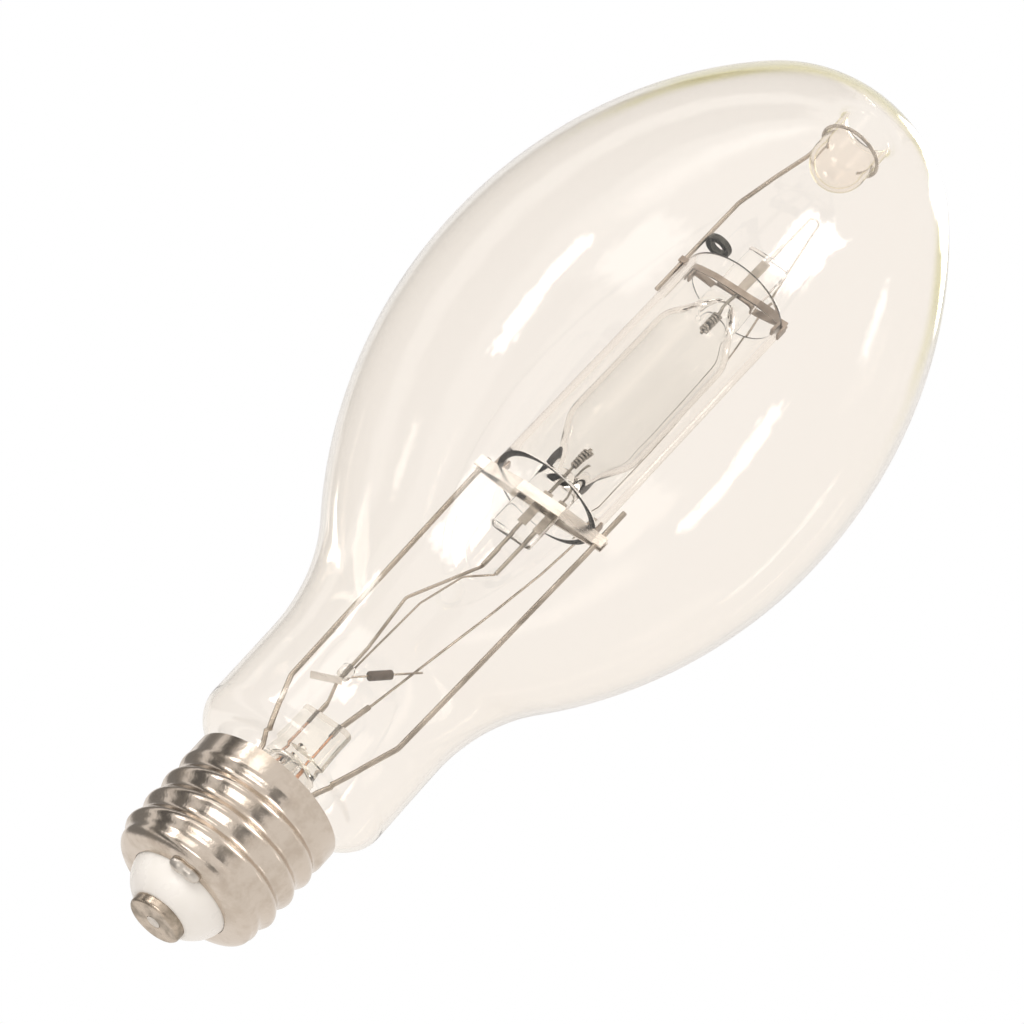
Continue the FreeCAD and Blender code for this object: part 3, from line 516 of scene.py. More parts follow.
GETTER = Finish("getter_metal", (0.10, 0.10, 0.09), (0.045, 0.05, 0.045), metallic=0.6,
                polish=0.4, dullness=0.7, scale=600.0, bump=0.1)

SLOTS: dict[str, Finish | GlassFinish] = {
    "nickel_shell": NICKEL_SHELL, "insulator_glass": WHITE_GLASS, "contact_brass": CONTACT_BRASS,
    "solder": SOLDER, "cement": CEMENT, "bulb_glass": BULB_GLASS, "stem_glass": STEM_GLASS,
    "quartz": QUARTZ, "copper_wire": COPPER, "nickel_wire": NICKEL_WIRE, "steel_strip": STRIP_STEEL,
    "tungsten": TUNGSTEN, "molybdenum": MOLYBDENUM, "resistor_body": RESISTOR,
    "getter_metal": GETTER,
}

# The upper straps and the clips take the darker brown steel, not the bright strip steel of the
# lower strap.
DARK_BROWN_PIECES: dict[str, Finish] = {
    name: DARK_BROWN_STEEL for name in ("upper_strap_front", "upper_strap_back", "lower_clip_left",
                                     "lower_clip_right", "upper_clip_left", "upper_clip_right")
}


def dress(piece: bpy.types.Object, finish: Finish | GlassFinish) -> None:
    """Give a piece one finish all over.

    Args:
        piece: the piece.
        finish: its finish.
    """
    piece.data.materials.clear()
    piece.data.materials.append(finish.material())


def settle(piece: bpy.types.Object, slot: str, *nodes: str) -> None:
    """Tie a finished piece to the frame.

    Args:
        piece: the piece, in place.
        slot: the record's material slot.
        nodes: the solids that it stands for.
    """
    dress(piece, SLOTS[slot])
    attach(piece, ROOT)
    if nodes:
        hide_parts(*nodes)
    LOG.info("%s: %d faces", piece.name, len(piece.data.polygons))


def freeze(piece: bpy.types.Object) -> bpy.types.Object:
    """Turn a piece with live modifiers into a plain mesh object of the same name.

    Args:
        piece: the object whose modifiers are applied.

    Returns:
        The plain object.
    """
    graph = bpy.context.evaluated_depsgraph_get()
    data = bpy.data.meshes.new_from_object(piece.evaluated_get(graph))
    name = piece.name
    old = piece.data
    bpy.data.objects.remove(piece)
    bpy.data.meshes.remove(old)
    data.name = name
    made = bpy.data.objects.new(name, data)
    bpy.context.scene.collection.objects.link(made)
    return made


@dataclass
class Bulb:
    """The blown outer bulb, one wall from its sealed root to the dimple."""

    diameter: float = 117.5
    belly_height: float = 179.5
    apex: float = 276.984
    dome_angle: float = 35.51
    neck_diameter: float = 49.0
    neck_top: float = 71.0
    neck_blend: float = 58.0
    wall: float = 1.1
    shoulder_height: float = 50.2
    shoulder_round: float = 6.2
    root_diameter: float = 34.8
    root_round: float = 2.5
    seal_height: float = 34.1
    dimple_bore: float = 12.4
    dimple_depth: float = 21.0
    mouth_round: float = 3.0
    around: int = 180
    pace: float = 2.4
    fine_pace: float = 0.4

    def outside(self) -> list[Point]:
        """Draw the outer side of the wall.

        Returns:
            Its points, from the root to the dimple's blind end.
        """
        root, neck, belly = self.root_diameter / 2, self.neck_diameter / 2, self.diameter / 2
        root_c = root + self.root_round
        shoulder_c = neck - self.shoulder_round
        step = math.sqrt((self.shoulder_round + self.root_round) ** 2 - (root_c - shoulder_c) ** 2)
        root_z = self.shoulder_height - step
        to_shoulder = heading((root_c, root_z), (shoulder_c, self.shoulder_height))
        spread = belly - neck
        rise = self.belly_height - self.neck_top
        lower = (spread ** 2 + rise ** 2) / (2 * spread) - self.neck_blend
        to_belly = heading((neck + self.neck_blend, self.neck_top),
                           (belly - lower, self.belly_height))
        turn = math.radians(self.dome_angle)
        slant = 1 / math.cos(turn) - math.tan(turn)
        upper = (self.apex - self.belly_height - belly * slant) / (1 - slant)
        dome = upper + (belly - upper) / math.cos(turn)
        dome_z = self.apex - dome
        bore = self.dimple_bore / 2
        mouth_c = bore + self.mouth_round
        mouth_z = dome_z + math.sqrt((dome - self.mouth_round) ** 2 - mouth_c ** 2)
        to_mouth = heading((0, dome_z), (mouth_c, mouth_z))
        dimple_z = self.apex - self.dimple_depth + bore
        runs = (
            ((root_c, root_z), self.root_round, 180, to_shoulder, self.fine_pace),
            ((shoulder_c, self.shoulder_height), self.shoulder_round, to_shoulder - 180, 0,
             self.fine_pace),
            ((neck + self.neck_blend, self.neck_top), self.neck_blend, 180, to_belly, self.pace),
            ((belly - lower, self.belly_height), lower, to_belly - 180, 0, self.pace),
            ((belly - upper, self.belly_height), upper, 0, self.dome_angle, self.pace),
            ((0, dome_z), dome, self.dome_angle, to_mouth, self.pace),
            ((mouth_c, mouth_z), self.mouth_round, to_mouth, 180, self.fine_pace),
            ((0, dimple_z), bore, 0, -90, self.fine_pace),
        )
        side = Profile(root, self.seal_height)
        for centre, radius, start, stop, pace in runs:
            turn = math.radians(start)
            begin = (centre[0] + radius * math.cos(turn), centre[1] + radius * math.sin(turn))
            gap = math.dist(begin, side.points[-1])
            if gap > SAME_PLACE:
                side.line(*begin, steps=max(1, round(gap / self.pace)))
            side.arc(centre, radius, start, stop, pace)
        side.points[-1] = (0.0, side.points[-1][1])
        return side.points

    def inside(self, outside: list[Point]) -> list[Point]:
        """Draw the inner side of the wall.

        Args:
            outside: points of the outer side.

        Returns:
            A point set in from each point of the outer side.
        """
        side = []
        for place, (r, z) in enumerate(outside):
            before, after = outside[max(place - 1, 0)], outside[min(place + 1, len(outside) - 1)]
            length = math.dist(before, after)
            inset = self.wall / length
            side.append((r - (after[1] - before[1]) * inset, z + (after[0] - before[0]) * inset))
        side[0] = (side[0][0], outside[0][1])
        side[-1] = (0.0, outside[-1][1] - self.wall)
        return side

    def build(self) -> None:
        """Make the bulb and put it in the place of its solid."""
        outside = self.outside()
        wall = outside + self.inside(outside)[::-1]
        surface = Surface()
        surface.skin(turned_rings(wall, self.around, UPRIGHT), Facing.OUT, closed=True)
        settle(surface.piece("clear_bulb", crease=GLASS_CREASE), "bulb_glass", "outer_bulb")


def thread_tree() -> bpy.types.NodeTree:
    """Build the tree that rolls a thread into a turned sheet.

    Returns:
        A geometry tree with the crest height, pitch and depth as inputs.
    """
    group = bpy.data.node_groups.new("roll_thread", "GeometryNodeTree")
    face = group.interface
    face.new_socket("Geometry", in_out="INPUT", socket_type="NodeSocketGeometry")
    for name in ("Pitch", "Depth", "First Crest"):
        face.new_socket(name, in_out="INPUT", socket_type="NodeSocketFloat")
    face.new_socket("Finish", in_out="INPUT", socket_type="NodeSocketMaterial")
    face.new_socket("Geometry", in_out="OUTPUT", socket_type="NodeSocketGeometry")
    tree = Tree(group)
    given = tree.node("NodeGroupInput").outputs
    place = tree.node("GeometryNodeInputPosition").outputs[0]
    axes = tree.node("ShaderNodeSeparateXYZ", {0: place}).outputs
    share = tree.node("GeometryNodeInputNamedAttribute", {"Name": "thread_share"},
                      data_type="FLOAT")
    angle = tree.math("ARCTAN2", axes[1], axes[0])
    above = tree.math("SUBTRACT", axes[2], given["First Crest"])
    climb = tree.math("DIVIDE", above, given["Pitch"])
    phase = tree.math("SUBTRACT", tree.math("MULTIPLY", climb, 2 * math.pi), angle)
    wave = tree.math("MULTIPLY_ADD", tree.math("COSINE", phase), 0.5, 0.5)
    push = tree.math("MULTIPLY", tree.math("MULTIPLY", wave, share.outputs[0]), given["Depth"])
    flat = tree.node("ShaderNodeCombineXYZ", {0: axes[0], 1: axes[1], 2: 0.0})
    way = tree.node("ShaderNodeVectorMath", {0: flat.outputs[0]}, operation="NORMALIZE")
    shift = tree.node("ShaderNodeVectorMath", {0: way.outputs[0], "Scale": push},
                      operation="SCALE")
    moved = tree.node("GeometryNodeSetPosition", {"Geometry": given["Geometry"],
                                                  "Offset": shift.outputs[0]})
    real = tree.node("GeometryNodeRealizeInstances", {0: moved.outputs[0]})
    done = tree.node("GeometryNodeSetMaterial", {"Geometry": real.outputs[0],
                                                 "Material": given["Finish"]})
    tree.node("NodeGroupOutput", {0: done.outputs[0]})
    return group


def coil_tree() -> bpy.types.NodeTree:
    """Build the tree that winds a wire coil on a rod, or give the one already built.

    Returns:
        A geometry tree with the coil's turns, radius, wire radius, length and start as inputs.
    """
    name = "wind_coil"
    if name in bpy.data.node_groups:
        return bpy.data.node_groups[name]
    group = bpy.data.node_groups.new(name, "GeometryNodeTree")
    face = group.interface
    face.new_socket("Geometry", in_out="INPUT", socket_type="NodeSocketGeometry")
    for socket in ("Turns", "Radius", "Wire", "Length", "Start"):
        face.new_socket(socket, in_out="INPUT", socket_type="NodeSocketFloat")
    face.new_socket("Finish", in_out="INPUT", socket_type="NodeSocketMaterial")
    face.new_socket("Geometry", in_out="OUTPUT", socket_type="NodeSocketGeometry")
    tree = Tree(group)
    given = tree.node("NodeGroupInput").outputs
    helix = tree.node("GeometryNodeCurveSpiral", {
        "Resolution": COIL_STEPS, "Rotations": given["Turns"], "Start Radius": given["Radius"],
        "End Radius": given["Radius"], "Height": given["Length"]})
    ring = tree.node("GeometryNodeCurvePrimitiveCircle", {"Resolution": COIL_SIDES,
                                                          "Radius": given["Wire"]})
    wire = tree.node("GeometryNodeCurveToMesh", {
        "Curve": helix.outputs[0], "Profile Curve": ring.outputs[0], "Fill Caps": True})
    soft = tree.node("GeometryNodeSetShadeSmooth", {"Geometry": wire.outputs[0]})
    rise = tree.node("ShaderNodeCombineXYZ", {2: given["Start"]})
    place = tree.node("GeometryNodeTransform", {"Geometry": soft.outputs[0],
                                                "Translation": rise.outputs[0]})
    both = tree.node("GeometryNodeJoinGeometry")
    for part in (place.outputs[0], given["Geometry"]):
        group.links.new(part, both.inputs[0])
    real = tree.node("GeometryNodeRealizeInstances", {0: both.outputs[0]})
    done = tree.node("GeometryNodeSetMaterial", {"Geometry": real.outputs[0],
                                                 "Material": given["Finish"]})
    tree.node("NodeGroupOutput", {0: done.outputs[0]})
    return group


def add_tree(piece: bpy.types.Object, group: bpy.types.NodeTree,
             values: dict[str, object]) -> None:
    """Put a geometry tree on a piece and set its inputs by their identifiers.

    Args:
        piece: the object.
        group: the tree.
        values: a value for each named input.
    """
    modifier = piece.modifiers.new(group.name, "NODES")
    modifier.node_group = group
    for item in group.interface.items_tree:
        if item.item_type == "SOCKET" and item.in_out == "INPUT" and item.name in values:
            modifier[item.identifier] = values[item.name]


@dataclass
class ScrewBase:
    """Rolled sheet shell with its lip and collar, and the white insulator below.

    The solder bead swells and thins in waves, each with its pitch and start in radians.
    """

    thread_diameter: float = 38.9
    pitch: float = 6.35
    depth: float = 1.35
    first_crest: float = 11.8
    run_in: float = 3.0
    sheet: float = 0.5
    bottom: float = 9.1
    rim: float = 39.7
    collar_diameter: float = 38.4
    collar_height: float = 5.6
    lip_width: float = 5.65
    lip_rise: float = 2.6
    lip_steps: int = 24
    contact_diameter: float = 13.4
    contact_height: float = 3.1
    contact_hole: float = 3.4
    contact_round: float = 0.8
    seat_depth: float = 0.8
    tip_diameter: float = 14.4
    bulge: float = 1.0
    gap: float = 0.12
    skirt_top: float = 13.7
    bead_diameter: float = 3.0
    bead_turn: float = 21.0
    bead_offset: float = 1.0
    bead_drop: float = 0.3
    bead_angle: float = -100.8
    bead_rings: int = 40
    bead_around: int = 24
    bead_blunt: float = 5.0
    bead_waves: tuple[Point, ...] = ((9.0, math.pi / 2), (4.0, 1.0))
    bead_wave: float = 0.05
    hole_round: float = 0.25
    contact_steps: int = 6
    around: int = 180
    insulator_around: int = 144
    contact_around: int = 96
    pace: float = 0.42
    insulator_pace: float = 0.3
    corner_pace: float = 0.1
    hole_pace: float = 0.05

    def root(self) -> float:
        """Work out the shell's radius at the thread's root.

        Returns:
            The radius.
        """
        return self.thread_diameter / 2 - self.depth

    def sheet_side(self, inset: float) -> list[Point]:
        """Draw one side of the unthreaded sheet.

        Args:
            inset: distance in from the outside.

        Returns:
            Its points, from the lip to the rim.
        """
        lip_r = self.root() - self.lip_width
        lip_z = self.bottom + self.lip_rise
        collar = self.rim - self.collar_height
        side = Profile(lip_r, self.bottom + inset)
        for step in range(1, self.lip_steps + 1):
            turn = math.pi / 2 * (step / self.lip_steps - 1)
            side.line(lip_r + (self.lip_width - inset) * math.cos(turn),
                      lip_z + (self.lip_rise - inset) * math.sin(turn))
        steps = round((self.rim - lip_z) / self.pace)
        for step in range(1, steps + 1):
            z = lip_z + (self.rim - lip_z) * step / steps
            rise = smoothstep((z - collar + self.pitch / 4) / (self.pitch / 2))
            r = self.root() + (self.collar_diameter / 2 - self.root()) * rise - inset
            side.points.append((r, z))
        return side.points

    def thread_share(self, z: float) -> float:
        """Say how deep the thread is rolled at a height.

        Args:
            z: the height.

        Returns:
            A share of the full depth.
        """
        collar = self.rim - self.collar_height
        into = smoothstep((z - self.bottom - self.lip_rise) / self.run_in)
        return into * (1 - smoothstep((z - collar + self.pitch / 4) / (self.pitch / 2)))

    def shell(self) -> None:
        """Make the threaded shell."""
        wall = self.sheet_side(0.0) + self.sheet_side(self.sheet)[::-1]
        surface = Surface()
        surface.skin(turned_rings(wall, self.around, UPRIGHT), Facing.OUT, closed=True)
        piece = surface.piece("threaded_shell", crease=PRESSED_CREASE)
        share = piece.data.attributes.new("thread_share", "FLOAT", "POINT")
        for place, vertex in enumerate(piece.data.vertices):
            share.data[place].value = self.thread_share(vertex.co.z / MM)
        add_tree(piece, thread_tree(), {
            "Pitch": self.pitch * MM, "Depth": self.depth * MM,
            "First Crest": self.first_crest * MM, "Finish": NICKEL_SHELL.material()})
        settle(freeze(piece), "nickel_shell", "screw_shell")

    def insulator(self) -> None:
        """Make the visible skirt of the insulator."""
        tip, outside = self.tip_diameter / 2, self.root() - self.lip_width - self.gap
        low = self.contact_height - self.seat_depth
        chord = math.hypot(outside - tip, self.bottom - low)
        radius = (chord ** 2 / 4 + self.bulge ** 2) / (2 * self.bulge)
        out = ((self.bottom - low) / chord, -(outside - tip) / chord)
        centre = ((tip + outside) / 2 - out[0] * (radius - self.bulge),
                  (low + self.bottom) / 2 - out[1] * (radius - self.bulge))
        seat = self.contact_diameter / 2
        side = Profile(0.0, self.contact_height).line(seat, self.contact_height)
        side.line(seat, low).line(tip, low)
        side.arc(centre, radius, heading(centre, (tip, low)),
                 heading(centre, (outside, self.bottom)), self.insulator_pace)
        side.line(outside, self.skirt_top).line(0.0, self.skirt_top)
        surface = Surface()
        surface.skin(turned_rings(side.points, self.insulator_around, UPRIGHT), Facing.OUT)
        settle(surface.piece("white_insulator", crease=PRESSED_CREASE), "insulator_glass",
               "insulator")

    def contact(self) -> None:
        """Make the pressed contact with its hole."""
        outer, hole = self.contact_diameter / 2, self.contact_hole / 2
        corner, edge = self.contact_round, self.hole_round
        side = Profile(hole, self.contact_height).line(hole, edge)
        side.arc((hole + edge, edge), edge, 180, 270, self.hole_pace)
        side.line(outer - corner, 0.0, steps=self.contact_steps)
        side.arc((outer - corner, corner), corner, -90, 0, self.corner_pace)
        side.line(outer, self.contact_height)
        surface = Surface()
        surface.skin(turned_rings(side.points, self.contact_around, UPRIGHT), Facing.OUT,
                     closed=True)
        settle(surface.piece("pressed_contact", crease=PRESSED_CREASE), "contact_brass",
               "centre_contact")

    def solder(self) -> None:
        """Make the bead of solder on the lip, a little uneven as it froze."""
        bead = self.bead_diameter / 2
        middle = self.root() - self.lip_width + self.bead_offset
        top = self.bottom + self.sheet / 2
        half = math.radians(self.bead_turn / 2) + bead / middle
        rings = []
        for step in range(self.bead_rings + 1):
            share = 2 * step / self.bead_rings - 1
            turn = math.radians(self.bead_angle) + share * half
            thick = bead * math.sqrt(max(1 - abs(share) ** self.bead_blunt, 0.0))
            thick *= 1 - self.bead_wave * sum(math.sin(pitch * share + start)
                                              for pitch, start in self.bead_waves)
            ring = []
            for place in range(self.bead_around):
                angle = 2 * math.pi * place / self.bead_around
                r = middle + thick * math.cos(angle)
                z = min(self.bottom - self.bead_drop + thick * math.sin(angle), top)
                ring.append(UPRIGHT @ Vector((r * math.cos(turn), r * math.sin(turn), z)))
            if not 0 < step < self.bead_rings:
                ring = [sum(ring, Vector()) / self.bead_around]
            rings.append(ring)
        surface = Surface()
        surface.skin(rings, Facing.OUT)
        settle(surface.piece("lip_solder", crease=GLASS_CREASE), "solder", "side_solder")

    def build(self) -> None:
        """Make the base's pieces."""
        self.shell()
        self.insulator()
        self.contact()
        self.solder()


@dataclass
class ArcTube:
    """Shroud and formed arc tube with its two flat seals.

    The outline of the shroud's rim stops at rim_stop degrees, a step before its first point.
    """

    shroud_diameter: float = 28.2
    shroud_wall: float = 1.6
    shroud_length: float = 73.4
    shroud_base: float = 141.2
    rim_round: float = 0.5
    rim_stop: float = 355.0
    diameter: float = 20.4
    wall: float = 1.2
    barrel_start: float = 164.7
    barrel_length: float = 30.5
    end_round: float = 9.0
    end_angle: float = 27.0
    end_diameter: float = 5.6
    cavity_radius: float = 2.3
    seal_width: float = 11.0
    seal_thickness: float = 3.4
    lower_seal: float = 19.6
    upper_seal: float = 17.0
    soften: float = 0.9
    flatten_start: float = 1.0
    flatten_range: float = 4.0
    flat_power: float = 5.5
    seal_end_width: float = 0.93
    seal_end_thickness: float = 0.80
    seal_end_round: float = 0.25
    foil_end: float = 14.6
    rod_diameter: float = 0.9
    rod_reach: float = 9.0
    rod_tip: float = 1.0
    coil_radius: float = 0.85
    coil_wire: float = 0.4
    coil_pitch: float = 0.9
    coil_turns: float = 6.0
    around: int = 96
    rod_around: int = 24
    pace: float = 0.9
    rim_pace: float = 0.2
    tip_pace: float = 0.1
    shroud_steps: int = 24
    cavity_steps: int = 60
    rod_steps: int = 6

    def shroud(self) -> None:
        """Make the quartz sleeve with fire polished rims."""
        outer = self.shroud_diameter / 2
        inner = outer - self.shroud_wall
        low, high = self.shroud_base, self.shroud_base + self.shroud_length
        corner, pace = self.rim_round, self.rim_pace
        ring = Profile(outer, low + corner).line(outer, high - corner, steps=self.shroud_steps)
        ring.arc((outer - corner, high - corner), corner, 0, 90, pace)
        ring.arc((inner + corner, high - corner), corner, 90, 180, pace)
        ring.line(inner, low + corner, steps=self.shroud_steps)
        ring.arc((inner + corner, low + corner), corner, 180, 270, pace)
        ring.arc((outer - corner, low + corner), corner, 270, self.rim_stop, pace)
        surface = Surface()
        surface.skin(turned_rings(ring.points, self.around, MOUNT.matrix()), Facing.OUT,
                     closed=True)
        settle(surface.piece("quartz_shroud", crease=GLASS_CREASE), "quartz", "shroud")

    def body_radius(self, drop: float, wall: float) -> float:
        """Give the body's radius at a distance beyond the barrel's end.

        Args:
            drop: distance past the end, or less than 0 on the barrel.
            wall: inset from the outside.

        Returns:
            The radius, which falls below 0 past the cone's tip.
        """
        tilt = math.radians(self.end_angle)
        bend = self.end_round - wall
        centre = self.diameter / 2 - self.end_round
        if drop <= 0:
            return centre + bend
        if drop < bend * math.sin(tilt):
            return centre + math.sqrt(bend ** 2 - drop ** 2)
        edge = centre + bend * math.cos(tilt)
        return edge - (drop - bend * math.sin(tilt)) * math.tan(tilt)

    def drop_to(self, radius: float, wall: float) -> float:
        """Find where the cone has a radius.

        Args:
            radius: the radius.
            wall: inset from the outside.

        Returns:
            The distance past the barrel's end.
        """
        tilt = math.radians(self.end_angle)
        bend = self.end_round - wall
        edge = self.diameter / 2 - self.end_round + bend * math.cos(tilt)
        return bend * math.sin(tilt) + (edge - radius) / math.tan(tilt)

    def section(self, z: float) -> list[Vector]:
        """Draw the tube's outer section, round on the body and flat on the seals.

        Args:
            z: the section's height.

        Returns:
            A ring of points.
        """
        middle = self.barrel_start + self.barrel_length / 2
        radius = self.body_radius(abs(z - middle) - self.barrel_length / 2, 0.0)
        half = [self.seal_width / 2, self.seal_thickness / 2]
        wide, thick = (self.larger(radius, side) for side in half)
        flatness = smoothstep((half[0] + self.flatten_start - radius) / self.flatten_range)
        power = 2.0 / (2.0 + (self.flat_power - 2.0) * flatness)
        ring = []
        for step in range(self.around):
            turn = 2 * math.pi * step / self.around
            x = math.copysign(abs(math.cos(turn)) ** power, math.cos(turn))
            y = math.copysign(abs(math.sin(turn)) ** power, math.sin(turn))
            ring.append(Vector((wide * x, thick * y, z)))
        return ring

    def larger(self, one: float, two: float) -> float:
        """Pick the larger of two sizes, eased where they are close.

        Args:
            one: a size.
            two: a size.

        Returns:
            The eased size.
        """
        gap = one - two
        eased = (one + two + math.sqrt(gap * gap + self.soften ** 2)) / 2
        return eased - self.soften / 2 * math.exp(-abs(gap))

    def tube(self) -> None:
        """Make the arc tube: its outside and its cavity."""
        place = MOUNT.matrix()
        body = self.drop_to(self.end_diameter / 2, 0.0)
        low = self.barrel_start - body - self.lower_seal
        high = self.barrel_start + self.barrel_length + body + self.upper_seal
        steps = round((high - low) / self.pace)
        rings = [self.section(low + (high - low) * step / steps) for step in range(steps + 1)]
        ends = []
        for ring, shift in ((rings[0], -1.0), (rings[-1], 1.0)):
            height = ring[0].z
            ends.append([Vector((point.x * self.seal_end_width,
                                 point.y * self.seal_end_thickness, height)) for point in ring])
            for point in ring:
                point.z -= shift * self.seal_end_round
        middle = [[Vector((0, 0, low))], [Vector((0, 0, high))]]
        rings = [middle[0], ends[0]] + rings + [ends[1], middle[1]]
        surface = Surface()
        surface.skin([[place @ point for point in ring] for ring in rings], Facing.OUT)
        deep = self.drop_to(self.cavity_radius, self.wall)
        first, last = self.barrel_start - deep, self.barrel_start + self.barrel_length + deep
        cavity = [(0.0, first)]
        for step in range(self.cavity_steps + 1):
            z = first + (last - first) * step / self.cavity_steps
            past = abs(z - (first + last) / 2) - self.barrel_length / 2
            cavity.append((self.body_radius(past, self.wall), z))
        cavity.append((0.0, last))
        surface.skin(turned_rings(cavity, self.around, place), Facing.IN)
        settle(surface.piece("formed_arc_tube", crease=PRESSED_CREASE), "quartz", "arc_tube")

    def electrode(self, end: End) -> None:
        """Make an electrode: its tungsten rod and the coil wound on it.

        Args:
            end: the end of the tube that it stands in.
        """
        floor = self.barrel_start - self.drop_to(self.cavity_radius, self.wall)
        body = self.barrel_start - self.drop_to(self.end_diameter / 2, 0.0)
        start = body - self.lower_seal + self.foil_end
        top = floor + self.rod_reach
        rod = self.rod_diameter / 2
        side = Profile(0.0, start).line(rod, start)
        side.line(rod, top - rod / 2, steps=self.rod_steps)
        side.arc((rod / 2, top - rod / 2), rod / 2, 0, 90, self.tip_pace).line(0.0, top)
        surface = Surface()
        surface.skin(turned_rings(side.points, self.rod_around, UPRIGHT), Facing.OUT)
        piece = surface.piece(end.name.lower() + "_coiled_electrode", crease=PRESSED_CREASE)
        coil = self.coil_turns * self.coil_pitch
        add_tree(piece, coil_tree(), {
            "Turns": self.coil_turns, "Radius": self.coil_radius * MM, "Wire": self.coil_wire * MM,
            "Length": coil * MM, "Start": (top - self.rod_tip - coil) * MM,
            "Finish": TUNGSTEN.material()})
        piece = freeze(piece)
        middle = Matrix.Translation((0, 0, (self.barrel_start + self.barrel_length / 2) * MM))
        flip = Matrix.Rotation(0.0 if end is End.LOWER else math.pi, 4, "X")
        place = MOUNT.matrix() @ UPRIGHT.inverted()
        piece.data.transform(place @ middle @ flip @ middle.inverted())
        settle(piece, "tungsten", end.name.lower() + "_electrode")

    def build(self) -> None:
        """Make the quartz pieces and the electrodes."""
        self.shroud()
        self.tube()
        for end in End:
            self.electrode(end)


class Across(Enum):
    """What a card's sides are measured by: turn about the lamp, or reach to the right."""

    AZIMUTH = "azimuth"
    REACH = "reach"


@dataclass(frozen=True)
class Card:
    """A soft edged card, window or dark flag of the studio, as glass and metal show it.

    Directions are in degrees from the lamp: azimuth from the camera's side towards +X, and
    elevation above the level. A reach is the direction's part along X, in hundredths. A card
    that isn't through glass is left out of rays that have passed through it.
    """

    sides: Point
    elevation: Point
    edge: float
    strength: float
    across: Across = Across.AZIMUTH
    through_glass: bool = True


def card_group() -> bpy.types.NodeTree:
    """Build the shared shader group that masks one card of the studio.

    Returns:
        A group with a mask that is 1 inside the card's edges and 0 outside.
    """
    name = "card_mask"
    if name in bpy.data.node_groups:
        return bpy.data.node_groups[name]
    group = bpy.data.node_groups.new(name, "ShaderNodeTree")
    for socket in ("Across", "Elevation", "Left", "Right", "Low", "High", "Edge"):
        group.interface.new_socket(socket, in_out="INPUT", socket_type="NodeSocketFloat")
    group.interface.new_socket("Mask", in_out="OUTPUT", socket_type="NodeSocketFloat")
    tree = Tree(group)
    given = tree.node("NodeGroupInput").outputs
    mask: object = 1.0
    for value, low, high in (("Across", "Left", "Right"), ("Elevation", "Low", "High")):
        for inside in (tree.math("SUBTRACT", given[value], given[low]),
                       tree.math("SUBTRACT", given[high], given[value])):
            share = tree.math("DIVIDE", inside, given["Edge"])
            eased = tree.node("ShaderNodeMapRange", {"Value": share, "From Min": -0.5,
                                                     "From Max": 0.5},
                              interpolation_type="SMOOTHSTEP")
            mask = tree.math("MULTIPLY", mask, eased.outputs[0])
    tree.node("NodeGroupOutput", {"Mask": mask})
    return group


